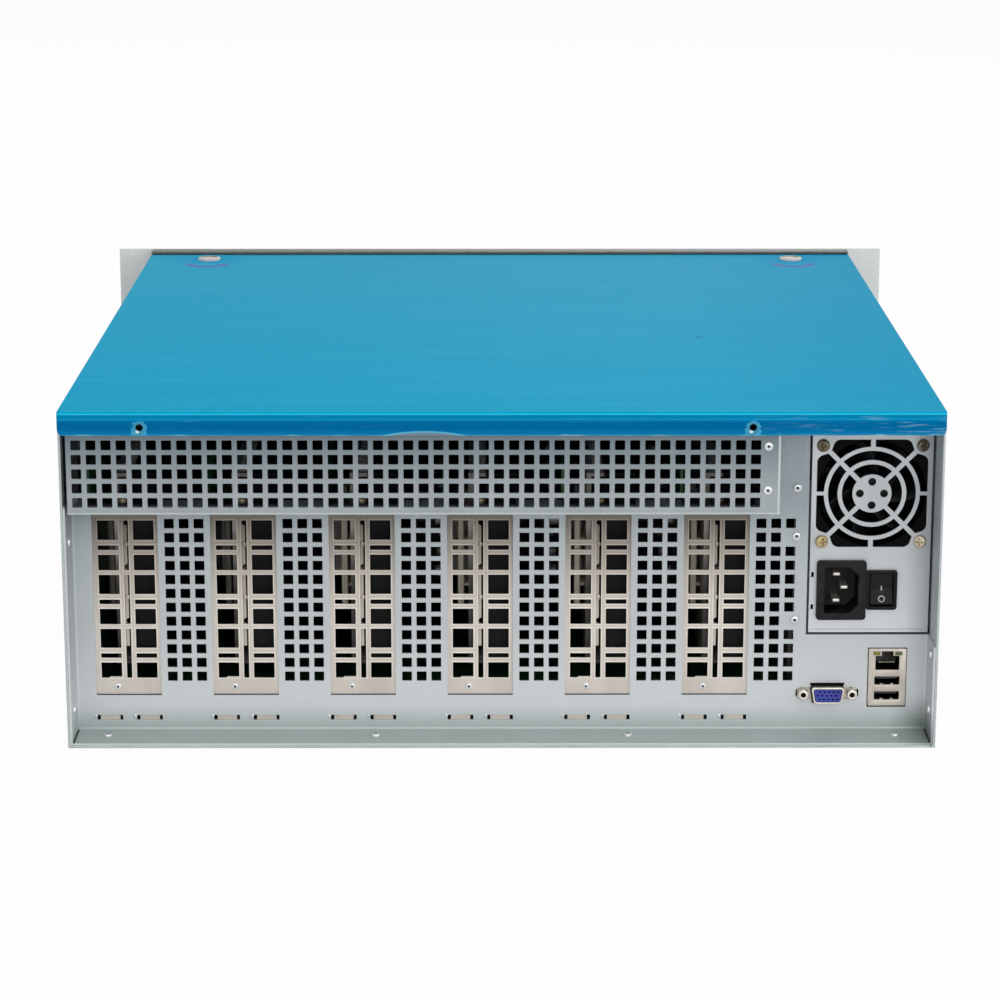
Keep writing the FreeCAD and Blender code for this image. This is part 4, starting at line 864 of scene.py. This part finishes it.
def make_hood():
    low, high = HOOD_LOW, HOOD_HIGH
    hood = box_block("hood_shell", low, high, (HOOD_FACE, PANEL_FACE))
    round_edges(hood, 2, 4, lambda spot, run: spot.y < HOOD_FACE + 0.1
                and (spot.z < low.z + 0.1 or spot.x > high.x - 0.1))
    remove_faces(hood, lambda spot, way: way.z > 0.9 or way.x < -0.9 or way.y > 0.9)
    apply_modifier(hood, "SOLIDIFY", thickness=SHEET * MM, offset=-1, use_even_offset=True)
    vent_left, vent_low, vent_side = -213.9, 125.8, 5
    vent = add_block("vent_tool", (vent_left, vent_left + vent_side), (HOOD_FACE - 2, HOOD_FACE + 4),
                     (vent_low, vent_low + vent_side))
    round_edges(vent, 0.5, 2, deep)
    columns, column_pitch, rows, row_pitch = 46, 7.5, 5, 7.35
    array_piece(vent, columns, (column_pitch, 0, 0))
    array_piece(vent, rows, (0, 0, row_pitch))
    carve(hood, vent)
    for across, level in LIP_HOLES:
        drill(hood, (across, HOOD_FACE, level), 2.3, 6, 28)
    stand_for(soften(hood, 0.12, 1), "vent_hood", finish=HOOD_STEEL)


# Rear panel and card brackets with broken edges, the rolled bends, and dark strips of painted shade in the
# gaps at their joints

BEND = 1.3
BEND_LINE = PANEL_FACE - BEND


def bend_strip(across, upward, axis, centre):
    """Fillet between the panel and a sheet that is folded from it, along one axis."""
    strip = add_block("bend_strip", across, (BEND_LINE, PANEL_FACE), upward)
    return drill(strip, (centre[0], BEND_LINE, centre[1]), BEND, 470, 48, axis)


def make_sheets():
    stand_for(copy_node("rear_panel", "panel_sheet", 0.12), "rear_panel", finish=PANEL_STEEL)
    stand_for(copy_node("chassis_tray", "tray_sheet", 0.3, 2), "chassis_tray")
    for card in range(1, 7):
        node = "card_bracket_%d" % card
        stand_for(copy_node(node, "bracket_plate_%d" % card, 0.22), node)
    floor_line, wall_line = FLOOR_TOP + BEND, WALL_FACE - BEND
    left_top, right_top = 121.5, CASE_LOW.z - 1.5
    bends = [
        bend_strip(about(0, WALL_FACE), (FLOOR_TOP, floor_line), "x", (0, floor_line)),
        bend_strip((-WALL_FACE, -wall_line), (FLOOR_TOP, left_top), "z", (-wall_line, 60)),
        bend_strip((wall_line, WALL_FACE), (FLOOR_TOP, right_top), "z", (wall_line, 60))]
    dress(soften(join_pieces("panel_bends", bends), 0), "galvanised_steel", PANEL_STEEL)
    # Dark strips of painted shade in the mitre gaps of the floor corners and under the card openings.
    gaps = []
    gap_half, gap_height = 0.45, 0.35
    for side in SIDES:
        gap = add_block("corner_gap", about(0, gap_half), (HOOD_FACE + 0.4, PANEL_FACE - 1.4),
                        (FLOOR_TOP, FLOOR_TOP + gap_height))
        round_edges(gap, 0.2, 2, above(FLOOR_TOP + gap_height - 0.05))
        gaps.append(move_piece(gap, (side * (WALL_FACE - gap_half), 0, 0)))
    opening_half, opening_low = 16.7, 20.6
    for across in CARD_CENTRES:
        gap = add_block("opening_gap", about(across, opening_half), from_back(-0.9, 0),
                        (opening_low, opening_low + gap_height))
        round_edges(gap, 0.15, 2, above(opening_low + gap_height - 0.05))
        gaps.append(gap)
    dress(join_pieces("sheet_gap_shadows", gaps), "galvanised_steel", PAINTED_SHADE_STEEL)


WINDOW_LOW, WINDOW_PERIOD = 29.6, 28.6
WINDOW_COLUMNS = ((-14, -3.5), (4.1, 14.6))
WINDOW_ROWS = ((0, 8.2), (10.7, 13.1), (16, 26.2))
MIDDLE_SLOT = (-1, 1.6)


def make_window_rims():
    """Rolled rim round every window of the card brackets."""
    width, proud = 0.65, 0.14
    windows = [(columns, rows) for columns in WINDOW_COLUMNS for rows in WINDOW_ROWS]
    windows.append((MIDDLE_SLOT, (0, WINDOW_ROWS[-1][1])))
    members = []
    for (left, right), (low, high) in windows:
        rim = add_block("rim", (left - width, right + width), from_back(-proud, 0),
                        (WINDOW_LOW + low - width, WINDOW_LOW + high + width))
        cut(rim, (left, right), about(PANEL_BACK, 2), (WINDOW_LOW + low, WINDOW_LOW + high))
        members.append(rim)
    rims = join_pieces("window_rims", members)
    round_edges(rims, 0.09, 2, nearer(PANEL_BACK - proud + 0.01))
    array_piece(rims, 3, (0, 0, WINDOW_PERIOD))
    dress(repeat_pattern(soften(rims, 0), "window_rims", AT_CARDS), "bracket_nickel", WINDOW_RIM)


STUD_SHIFT, STUD_LEVEL = -5.8, 25


def stud_spots(depth):
    return [((across + STUD_SHIFT, PANEL_BACK + depth, STUD_LEVEL), OUT_OF_PANEL) for across in CARD_CENTRES]


def make_bracket_marks():
    stud = button(radius=1.7, height=0.6, sides=18, rounding=0.35, steps=2, sink=0.45, margin=0.7)
    dress(repeat_pattern(stud, "bracket_studs", stud_spots(0)), "rivet_metal")
    tab_left, tab_right, tab_low, tab_high = -10, -3.5, 29.5, 30.25
    tab = add_block("tab_pattern", (tab_left, tab_right), from_back(0.05, 0.85), (tab_low, tab_high))
    round_edges(tab, 0.5, 3, lambda spot, run: deep(spot, run) and spot.z > tab_high - 0.1
                and spot.x < tab_left + 0.1)
    dress(repeat_pattern(soften(tab, 0.1, 1), "window_tabs", AT_CARDS), "bracket_nickel")
    strip_left, strip_right = -2.6, 0.7
    notch_levels = (59.4, 88, 111.4)
    screw_levels = (57, 72, 85.6, 100, 115.5)
    strip = add_block("strip_pattern", (strip_left, strip_right), from_back(2.2, 3), (46, 117))
    for level in notch_levels:
        drill(strip, (strip_right, PANEL_BACK + 2, level), 1.5, 6, 20)
    strips = [soften(strip, 0.15, 1)]
    for level in screw_levels:
        head = add_rod("strip_screw", "y", (0.2, PANEL_BACK + 1.9, level), 1.3, 0.7, 16)
        round_edges(head, 0.3, 2, nearer(PANEL_BACK + 1.6))
        strips.append(soften(head, 0))
    strips = repeat_pattern(join_pieces("strip_pattern", strips), "card_end_strips", AT_CARDS)
    dress(strips, "bracket_nickel")
    half_slot_pitch, bump_shift, bump_level = 10.16, -7.4, 9.4
    spots = [((across + side * half_slot_pitch + bump_shift, PANEL_FACE, bump_level), OUT_OF_PANEL)
             for across in CARD_CENTRES for side in SIDES]
    bump = button(radius=0.9, height=0.5, sides=16, rounding=0.4, steps=3)
    dress(repeat_pattern(bump, "slit_bumps", spots), "rivet_metal")


# Card ends behind the bracket windows: ribbed side plates on the heat sinks, and closed ends of the shrouds

def make_card_ends():
    plate_left, plate_right, rib_left, sink_left = -11.6, -8.4, -8.7, -6
    plate = add_block("plate_pattern", (plate_left, plate_right), from_back(24, 48), (60, 121))
    round_edges(plate, 0.7, 3, lambda spot, run: abs(run.z) > 9)
    members = [soften(plate, 0.15, 1)]
    for level in (70, 94, 117):
        rib = add_block("plate_rib", (rib_left, sink_left), from_back(30, 44), (level, level + 1.6))
        members.append(soften(rib, 0.3, 2))
    plates = repeat_pattern(join_pieces("plate_pattern", members), "sink_side_plates", AT_CARDS)
    dress(plates, "sink_aluminium", FIN_PALE)
    low, high = limits("card_shrouds")
    end = add_block("end_pattern", (3, 18.5), (low.y - 0.8, low.y), (low.z, high.z))
    push_faces(end, facing("y", -1), (0, 0.4, 0), 1.2)
    dress(repeat_pattern(soften(end, 0.2, 2), "shroud_ends", AT_CARDS), "black_plastic", SHROUD_DARK)


# Parts on the open face of the card boards, and the slotted top fins of the heat sinks

def make_card_parts():
    face = limits("card_board_1")[0].x - CARD_CENTRES[0]
    part_pitch = 40
    chips = []
    for along in range(-160, 41, part_pitch):
        for level, half in ((58, 5), (82, 8), (112, 6)):
            chip = add_block("chip", (face - 1.3, face), about(along, half), about(level, half))
            push_faces(chip, facing("x", -1), (0.15, 0, 0), half * 0.12)
            chips.append(soften(chip, 0.2, 2))
    dress(repeat_pattern(join_pieces("chip_pattern", chips), "card_chips", AT_CARDS), "black_plastic")
    can_height = 5
    can = add_rod("can_pattern", "x", (face - can_height / 2, -140, 70), 3.1, can_height, 24)
    round_edges(can, 0.6, 3, lambda spot, run: spot.x < face - can_height + 0.1)
    push_faces(can, facing("x", -1), (0.3, 0, 0), 0.5)
    array_piece(can, 6, (0, part_pitch, 0))
    array_piece(can, 2, (0, 0, 28))
    dress(repeat_pattern(soften(can, 0), "card_cans", AT_CARDS), "sink_aluminium")


def make_sinks():
    low, high = limits("card_heat_sinks")
    sinks = copy_node("card_heat_sinks", "card_sinks", 0)
    slots, slot_pitch, slot_width, slot_depth = 61, 4, 1.6, 2.5
    first = low.y + slot_pitch
    slot = add_block("slot_tool", (CARD_CENTRES[0] - 2.6, CARD_CENTRES[0] + 2.4), (first, first + slot_width),
                     (high.z - slot_depth, high.z + 2))
    array_piece(slot, slots, (0, slot_pitch, 0))
    array_piece(slot, len(CARD_CENTRES), (CARD_PITCH, 0, 0))
    stand_for(soften(carve(sinks, slot), 0.15, 1), "card_heat_sinks")


# Rivets with a sunk middle, and cross-recess screws

RIVET_SPOTS = (
    [((CASE_LOW.x - 7.1, PANEL_FACE, CASE_LOW.z + rise), OUT_OF_PANEL) for rise in (76, 50.8, 6.6)]
    + [((HOOD_HIGH.x - 6.5, HOOD_FACE, level), OUT_OF_PANEL) for level in (157.1, 134.6)]
    + [((-WALL_FACE, -214, level), (0, 90, 0)) for level in (105.4, 17)]
    + [((WALL_FACE, -214, level), (0, -90, 0)) for level in (46, 16.8)]
    + [((across, -211, FLOOR_TOP), STILL) for across in (-201.3, -64.5, 64.5, 201.3)])


def make_rivets():
    rivet = button(radius=2.3, height=1.1, sides=20, rounding=0.75, steps=3, sink=0.6, margin=0.8)
    stand_for(repeat_pattern(rivet, "rivet_heads", RIVET_SPOTS), "rivets")
    # Dark discs in the sunk middles of rivets and studs are painted shade.
    shade_disc = button(radius=0.75, height=0.3, sides=14, rounding=0.12, steps=2, base=0.35)
    dress(repeat_pattern(shade_disc, "rivet_shade_discs", RIVET_SPOTS + stud_spots(0.3)), "rivet_metal", PAINTED_SHADE_STEEL)


def screw_pattern(radius, height):
    screw = add_rod("screw_pattern", "z", (0, 0, height / 2), radius, height, 28)
    round_edges(screw, height * 0.6, 4, above(height - 0.01))
    arm, width = about(0, radius * 0.62), about(0, radius * 0.13)
    recess = (height * 0.35, height + 1)
    carve(screw, add_block("slot_tool", arm, width, recess), add_block("slot_tool", width, arm, recess))
    return soften(screw, 0)


def make_screws():
    half_spacing = 25
    corners = [((FAN_CENTRE.x + half_spacing * side, PANEL_FACE, FAN_CENTRE.z + half_spacing * rise),
                (90, 0, 20 * side * rise)) for side, rise in CORNERS]
    fan_screws = repeat_pattern(screw_pattern(3.3, 1.8), "fan_screw_heads", corners)
    stand_for(fan_screws, "psu_fan_screws", finish=FAN_SCREW)
    tabs = [((across, -206.5, 124.6), (0, 0, 25 * index)) for index, across in enumerate(CARD_CENTRES)]
    stand_for(repeat_pattern(screw_pattern(3.1, 2.4), "card_screw_heads", tabs), "card_screws")


# Power supply case with its stamped fan grille

def make_grille_tool():
    half = 28
    corner_start, corner_pinch = 18.4, 2.8
    across, level = FAN_CENTRE.x, FAN_CENTRE.z
    centre = (across, PANEL_FACE, level)
    through = from_face(-5, 6)
    tool = add_block("grille_tool", about(across, half), from_face(-2, 3), about(level, half))
    for turn in (180, 270, 90, 0):
        corner = add_block("corner_tool", (corner_start, half + 2), through, (corner_start, half + 2))
        move_edges(corner, lambda spot, run: deep(spot, run) and spot.x < half and spot.z < half,
                   (corner_pinch, 0, corner_pinch))
        carve(tool, move_piece(corner, (across, 0, level), (0, turn, 0)))
    round_edges(tool, 2.6, 5, lambda spot, run: deep(spot, run) and
                (abs(abs(spot.x - across) - half) < 0.05 or abs(abs(spot.z - level) - half) < 0.05))
    for outer, inner in ((24.3, 22.2), (17.4, 15.2)):
        ring = add_rod("ring_tool", "y", centre, outer, 9, 96)
        carve(tool, drill(ring, centre, inner, 12, 96))
    drill(tool, centre, 9.9, 9, 64)
    spoke, spur = (-45, 45), (23, 31)
    for reach, half_bar, angle in ((spoke, 1.2, 45), (spoke, 1.2, -45), (spur, 0.95, 0), (spur, 1.2, 90),
                                   (spur, 0.95, 180), (spur, 1.2, 270)):
        bar = add_block("bar_tool", reach, through, about(0, half_bar))
        carve(tool, move_piece(bar, (across, 0, level), (0, angle, 0)))
    return tool


def make_psu_case():
    low, high = CASE_LOW, CASE_HIGH
    inlet, switch = INLET_CENTRE, SWITCH_CENTRE
    through = from_face(-2, 3)
    case = box_block("power_case", low, high, from_face(0, SHEET))
    carve(case, make_grille_tool())
    for side, rise in ((6.1, 0), (-6.1, 0), (0, 6.1), (0, -6.1)):
        drill(case, (FAN_CENTRE.x + side, PANEL_FACE, FAN_CENTRE.z + rise), 2, 9, 32)
    cut(case, about(inlet.x, 10.3), through, about(inlet.z, 13.9))
    cut(case, about(switch.x, 6.7), through, about(switch.z, 9.3))
    seam_low, seam_high = low.z + 1.5, low.z + 1.85
    cut(case, (low.x + 1, high.x - 3), from_face(-1, 0.5), (seam_low, seam_high))
    for rise in (30.5, 13.5):
        cut(case, (low.x - 1, low.x + 2.2), through, about(low.z + rise, 1.3))
    end_along = (high.y - SHEET, high.y)
    floor = add_block("case_floor", (low.x + SHEET, high.x - SHEET), (PANEL_FACE + SHEET, end_along[0]),
                      (low.z, low.z + SHEET))
    end = box_block("case_end", low, high, end_along)
    middle = (low + high) / 2
    drill(end, (middle.x, high.y, middle.z), 10, 9, 48)
    walls = [soften(wall, 0.15, 1) for wall in (case, floor, end)]
    stand_for(join_pieces("power_case", walls), "psu_case")


# Fans: square frame with a round bore and struts, and a rotor with swept blades

# Sizes as shares of the frame's half width
FRAME_CORNER, FRAME_BORE = 0.12, 0.945
SCREW_REACH, SCREW_HOLE = 0.865, 0.06
MOTOR_BASE, STRUT_REACH, STRUT_HALF = 0.36, 0.96, 0.055
HUB_RADIUS, BLADE_TIP, BLADE_RUN = 0.35, 0.9, 0.38


def make_fan_frame(node, name, base_at_back, finish=None):
    low, high = limits(node)
    centre = (low + high) / 2
    half = centre.x - low.x
    shell = box_block(name, low, high)
    round_edges(shell, half * FRAME_CORNER, 5, deep)
    drill(shell, centre, half * FRAME_BORE, 40, 72)
    screw_reach = half * SCREW_REACH
    for side, rise in CORNERS:
        spot = (centre.x + side * screw_reach, centre.y, centre.z + rise * screw_reach)
        drill(shell, spot, half * SCREW_HOLE, 40, 20)
    parts = [soften(shell, 0.4, 2)]
    base_depth = 2.5
    base_start = high.y - base_depth if base_at_back else low.y
    base_along = (base_start, base_start + base_depth)
    base_centre = (centre.x, base_start + base_depth / 2, centre.z)
    parts.append(soften(add_rod("motor_base", "y", base_centre, half * MOTOR_BASE, base_depth, 48), 0.5, 2))
    for angle in (0, 90):
        bar = add_block("strut", about(0, half * STRUT_REACH), base_along, about(0, half * STRUT_HALF))
        parts.append(move_piece(soften(bar, 0.4, 2), (centre.x, 0, centre.z), (0, angle, 0)))
    stand_for(join_pieces(name, parts), node, finish=finish)


def make_blade(hub, tip, chord, slant, sweep):
    """One blade along X: a cambered strip turned by its slant, drawn out in swept steps."""
    thick = chord * 0.05
    steps = 5
    root = hub * 0.88
    reach = [root + (tip - root) * step / steps for step in range(steps + 1)]
    blade = add_block("blade", (reach[0], reach[1]), about(0, chord / 2), about(0, thick / 2))
    stations = [chord * share for share in (-0.25, 0, 0.25)]
    for station in stations:
        slice_piece(blade, (0, station, 0), (0, 1, 0))
    for station in stations:
        camber = chord * 0.09 * (1 - (2 * station / chord) ** 2)
        move_edges(blade, lambda spot, run: abs(spot.y - station) < 0.01 and abs(run.y) < 0.01,
                   (0, 0, camber))
    blade = move_piece(blade, STILL, (slant, 0, 0))
    open_faces(blade, facing("x", 1))
    angles = [math.radians(sweep) * (step / steps) ** 2 for step in range(steps + 1)]
    for step in range(1, steps):
        ends = [Vector((reach[index] * math.cos(angles[index]), 0, reach[index] * math.sin(angles[index])))
                for index in (step, step + 1)]
        bpy.ops.mesh.extrude_region_move(TRANSFORM_OT_translate={"value": (ends[1] - ends[0]) * MM})
    close_piece()
    return soften(blade, thick * 0.4, 2, 40)


def make_rotor(node, name, body, frame_node):
    low, high = limits(node)
    centre = middle_of(frame_node)
    half = centre.x - limits(frame_node)[0].x
    depth = high.y - low.y
    hub_radius = half * HUB_RADIUS
    hub = add_rod(name, "y", (0, depth / 2, 0), hub_radius, depth, 56)
    round_edges(hub, hub_radius * 0.14, 4, lambda spot, run: abs(spot.y - depth / 2) > depth / 2 - 0.01)
    push_faces(hub, facing("y", -1), (0, 0.5, 0), hub_radius * 0.16)
    parts = [soften(hub, 0)]
    rise, run = depth * 0.78, half * BLADE_RUN
    chord, slant, sweep = math.hypot(rise, run), math.degrees(math.atan2(run, rise)), 10
    blade = make_blade(hub_radius, half * BLADE_TIP, chord, slant, sweep)
    blades = 7
    for index in range(blades):
        parts.append(copy_piece(blade, "blade", (0, depth / 2, 0), (0, 360 / blades * index, 0)))
    bpy.data.objects.remove(blade)
    stand_for(move_piece(join_pieces(name, parts), (centre.x, low.y, centre.z)), node, body)


def make_fans():
    # The fan frame is black plastic, in the black of painted shade behind the grille.
    make_fan_frame("psu_fan_frame", "power_fan_frame", True, PAINTED_SHADE_BLACK)
    make_rotor("psu_fan_rotor", "power_fan_blades", "psu_fan", "psu_fan_frame")
    for index in (1, 2, 3):
        frame_node = "fan_frame_%d" % index
        make_fan_frame(frame_node, "intake_frame_%d" % index, False)
        make_rotor("fan_rotor_%d" % index, "intake_blades_%d" % index, "intake_fan_%d" % index, frame_node)


# Power inlet with its pins, and the rocker switch

def rimmed_body(name, low, high, radius, rim):
    """Body behind the panel with a wider rim that stands out of it."""
    body = box_block(name, low, high, (low.y, PANEL_FACE))
    round_edges(body, radius, 5, deep)
    push_faces(body, facing("y", 1), (0, high.y - PANEL_FACE, 0), rim)
    return body


def make_inlet():
    low, middle = INLET_LOW, INLET_CENTRE
    inlet = rimmed_body("inlet_body", low, INLET_HIGH, 1.8, 2.4)
    cavity = add_block("inlet_cavity", (middle.x - 8.6, middle.x + 8.7), (low.y - 2, PANEL_FACE + 15),
                       about(middle.z, 12.2))
    round_edges(cavity, 4.5, 1, lambda spot, run: deep(spot, run) and spot.x > middle.x)
    round_edges(cavity, 1.2, 4, lambda spot, run: deep(spot, run) and spot.x < middle.x - 8)
    carve(inlet, cavity)
    stand_for(soften(inlet, 0.45, 3), "power_inlet", finish=SOCKET_BLACK)
    pin_low, pin_high = limits("inlet_pins")
    pin = add_block("pin", about(0, 2), (pin_low.y, pin_high.y), about(0, 1))
    round_edges(pin, 0.7, 3, nearer(pin_low.y + 0.1))
    spots = [((middle.x + across, 0, middle.z + rise), STILL) for across, rise in ((-2, 7), (2, 0), (-2, -7))]
    stand_for(repeat_pattern(soften(pin, 0.15, 1), "inlet_blades", spots), "inlet_pins")


def make_switch():
    low, high, middle = SWITCH_LOW, SWITCH_HIGH, SWITCH_CENTRE
    bezel = rimmed_body("switch_bezel", low, high, 1.5, 1.3)
    hollow = add_block("bezel_hollow", about(middle.x, 6.1), (low.y - 2, high.y - 1.5), about(middle.z, 8.6))
    round_edges(hollow, 0.6, 3, deep)
    carve(bezel, hollow)
    stand_for(soften(bezel, 0.4, 3), "rocker_bezel")
    half_wide, half_long, crown, waist = 5.8, 7.8, 3.6, 2.0
    paddle = add_block("switch_paddle", about(0, half_wide), (-crown, 0), about(0, half_long))
    slice_piece(paddle, STILL, (0, 0, 1))
    move_edges(paddle, lambda spot, run: abs(spot.z) < 0.01 and spot.y < 0.1 - crown and abs(run.x) > 9,
               (0, crown - waist, 0))
    round_edges(paddle, 0.6, 3, lambda spot, run: abs(spot.z) < 0.01 and abs(run.x) > 9 and spot.y < -1)
    push_faces(paddle, facing("y", 1), (0, 4, 0), 2.6)
    soften(paddle, 0.35, 3)
    place, turn = (middle.x, PANEL_FACE + 2, middle.z), (-9, 0, 0)
    stand_for(move_piece(paddle, place, turn), "rocker_paddle", "rocker")
    slope = math.degrees(math.atan2(crown - waist, half_long))
    line_level, ring_level = 0.4, -5
    line = add_block("line_mark", about(0, 0.28), (-waist - 0.33, 0.1 - waist), about(line_level, 1.2))
    round_edges(line, 0.12, 2, deep)
    ring = add_rod("ring_mark", "y", (0, 0.02, 0), 1.75, 0.16, 40)
    drill(ring, STILL, 1.2, 2, 40)
    ring_along = -waist + (crown - waist) * ring_level / half_long
    ring = move_piece(soften(ring, 0), (0, ring_along, ring_level), (-slope, 0, 0))
    marks = move_piece(join_pieces("switch_marks", [line, ring]), place, turn)
    dress(marks, "contact_metal", MARK_WHITE, "rocker")


# Video port with its insert, and the shared shell of the network and USB ports

def port_block(name, half, tall, along, corner):
    """Block with the port's outline, wider at its top, with rounded corners."""
    slant = tall * 0.17
    port = add_block(name, about(0, half), along, about(0, tall))
    for side, rise in CORNERS:
        move_edges(port, lambda spot, run: deep(spot, run) and spot.x * side > 0 and spot.z * rise > 0,
                   (slant * side * rise, 0, 0))
    round_edges(port, corner, 5, deep)
    return port


def make_video_port():
    middle = VIDEO_CENTRE
    place = (middle.x, 0, middle.z)
    low, high = limits("vga_shell")
    flange_back = PANEL_BACK + 0.8
    tube_half, tube_tall, tube_corner = 7.8, 4.3, 1.8
    tube = port_block("video_tube", tube_half, tube_tall, (low.y, PANEL_BACK), tube_corner)
    carve(tube, port_block("tube_bore", 7.0, 3.5, (low.y - 1, PANEL_BACK + 1), 1.2))
    tube = move_piece(soften(tube, 0.2, 2), place)
    flange = add_block("video_flange", (low.x, high.x), (PANEL_BACK, flange_back),
                       (middle.z - 4.6, middle.z + 4.4))
    round_edges(flange, 2, 4, deep)
    stand_for(join_pieces("video_shell", [tube, soften(flange, 0.15, 1)]), "vga_shell", finish=VIDEO_STEEL)
    # Black strips of painted shade round the video shell and under the network jack.
    outline = port_block("video_gap", 8.4, 5.3, from_back(-0.2, 0), 2)
    carve(outline, port_block("gap_bore", tube_half, tube_tall, about(PANEL_BACK, 2), tube_corner))
    under_jack = add_block("jack_gap", (JACK_LOW.x - 0.3, JACK_HIGH.x + 0.3), from_face(-0.08, 0.3),
                           (JACK_LOW.z - 0.9, JACK_LOW.z - 0.05))
    round_edges(under_jack, 0.06, 1, nearer(PANEL_FACE))
    dress(join_pieces("port_gap_shadows", [move_piece(outline, place), under_jack]), "black_plastic", PAINTED_SHADE_BLACK)
    # The connector body behind the flange is black, deepened as painted shade.
    body = box_block("video_body", low, high, (flange_back, high.y))
    dress(soften(body, 0.5, 2), "black_plastic", PAINTED_SHADE_BLACK)
    insert_low, insert_high = limits("vga_insert")
    insert = port_block("video_insert", 6.8, 3.3, (insert_low.y, insert_high.y), 1.1)
    hole = add_block("contact_hole", about(0, 0.55), (insert_low.y - 1, insert_low.y + 3), about(0, 0.5))
    round_edges(hole, 0.45, 3, deep)
    hole_pitch, row_pitch = 2.29, 1.98
    for rise, shift in ((row_pitch, 0.55), (0, -0.55), (-row_pitch, 0.35)):
        row = copy_piece(hole, "hole_row", (shift - 2 * hole_pitch, 0, rise))
        array_piece(row, 5, (hole_pitch, 0, 0))
        carve(insert, row)
    bpy.data.objects.remove(hole)
    stand_for(move_piece(soften(insert, 0.15, 1), place), "vga_insert")
    screw_low, screw_high = limits("vga_screws")
    length = screw_high.y - screw_low.y
    screw = add_rod("jack_screw", "z", (0, 0, length / 2), 2.9, length, 6)
    drill(screw, (0, 0, length), 1.25, 7, 24, "z")
    half_spacing = 12.495
    spots = [((middle.x + side * half_spacing, screw_high.y, middle.z), OUT_OF_PANEL) for side in SIDES]
    stand_for(repeat_pattern(soften(screw, 0.45, 2), "jack_screws", spots), "vga_screws")
    # Dark discs in the screws' threaded holes are painted shade.
    shade_disc = button(radius=1.3, height=0.4, sides=20, rounding=0.15, steps=2, base=length - 1.1)
    dress(repeat_pattern(shade_disc, "jack_screw_shade_discs", spots), "contact_metal", PAINTED_SHADE_BLACK)


def make_jack():
    low, high = JACK_LOW, JACK_HIGH
    shell = box_block("jack_shell", low, high)
    round_edges(shell, 0.6, 3, deep)
    network_low, network_half, network_tall = low.z + 19.1, 6.1, 7.6
    latch_half, latch_tall = 3, 2.4
    cavity = add_block("network_cavity", about(JACK_ACROSS, network_half), (low.y - 1, low.y + 15),
                       (network_low, network_low + network_tall))
    for across in about(JACK_ACROSS, latch_half):
        slice_piece(cavity, (across, 0, 0), (1, 0, 0))
    push_faces(cavity, lambda spot, way: way.z > 0.9 and abs(spot.x - JACK_ACROSS) < latch_half,
               (0, 0, latch_tall))
    carve(shell, cavity)
    springs = []
    usb_half, usb_tall, spring_shift, spring_half = 6.4, 4.5, 2.6, 0.8
    for usb_low in (low.z + 3.2, low.z + 11.2):
        usb = add_block("usb_cavity", about(JACK_ACROSS, usb_half), (low.y - 1, low.y + 13),
                        (usb_low, usb_low + usb_tall))
        round_edges(usb, 0.4, 2, deep)
        carve(shell, usb)
        for side in SIDES:
            spring = add_block("usb_spring", about(JACK_ACROSS + side * spring_shift, spring_half),
                               (low.y + 0.5, low.y + 5), (usb_low, usb_low + 0.55))
            springs.append(soften(spring, 0.25, 2))
    shell = join_pieces("jack_shell", [soften(shell, 0.25, 2)] + springs)
    stand_for(shell, "network_usb_shell", finish=JACK_STEEL)
    wires, wire_pitch = 8, 1.02
    wire = add_rod("network_wires", "y", STILL, 0.22, 12, 10)
    first = JACK_ACROSS - wire_pitch * (wires - 1) / 2
    wire = move_piece(soften(wire, 0), (first, low.y + 9, network_low + 1.9), (-14, 0, 0))
    array_piece(wire, wires, (wire_pitch, 0, 0))
    wire.name = "network_wires"
    dress(wire, "contact_metal", FINISHES["screw_brass"])
    tongue_low, tongue_high = limits("usb_tongues")
    tongue_thick = 1.8
    tongue = add_block("usb_tongue", (tongue_low.x, tongue_high.x), (tongue_low.y, tongue_high.y),
                       (tongue_low.z, tongue_low.z + tongue_thick))
    spots = [((0, 0, rise), STILL) for rise in (0, tongue_high.z - tongue_low.z - tongue_thick)]
    stand_for(repeat_pattern(soften(tongue, 0.3, 2), "usb_blades", spots), "usb_tongues", finish=TONGUE_DARK)
    stand_for(copy_node("port_lights", "jack_lamps", 0.12, 2), "port_lights", finish=PORT_LAMP)


# Front: plate with ears, frame, handles and buttons

FRONT_PIECES = (
    ("front_plate", "ear_plate", 0.35, 1, "chassis"),
    ("front_frame", "front_surround", 0.5, 2, "chassis"),
    ("front_handles", "rack_handles", 2.4, 4, "chassis"),
    ("power_button", "power_cap", 0.7, 3, "power_key"),
    ("reset_button", "reset_cap", 0.35, 3, "reset_key"),
    ("status_lights", "status_lamps", 0.35, 2, "chassis"),
)


def make_front():
    for node, name, edge, steps, body in FRONT_PIECES:
        stand_for(copy_node(node, name, edge, steps), node, body)


make_cover()
make_hood()
make_sheets()
make_window_rims()
make_bracket_marks()
make_card_ends()
make_card_parts()
make_sinks()
make_rivets()
make_screws()
make_psu_case()
make_fans()
make_inlet()
make_switch()
make_video_port()
make_jack()
make_front()
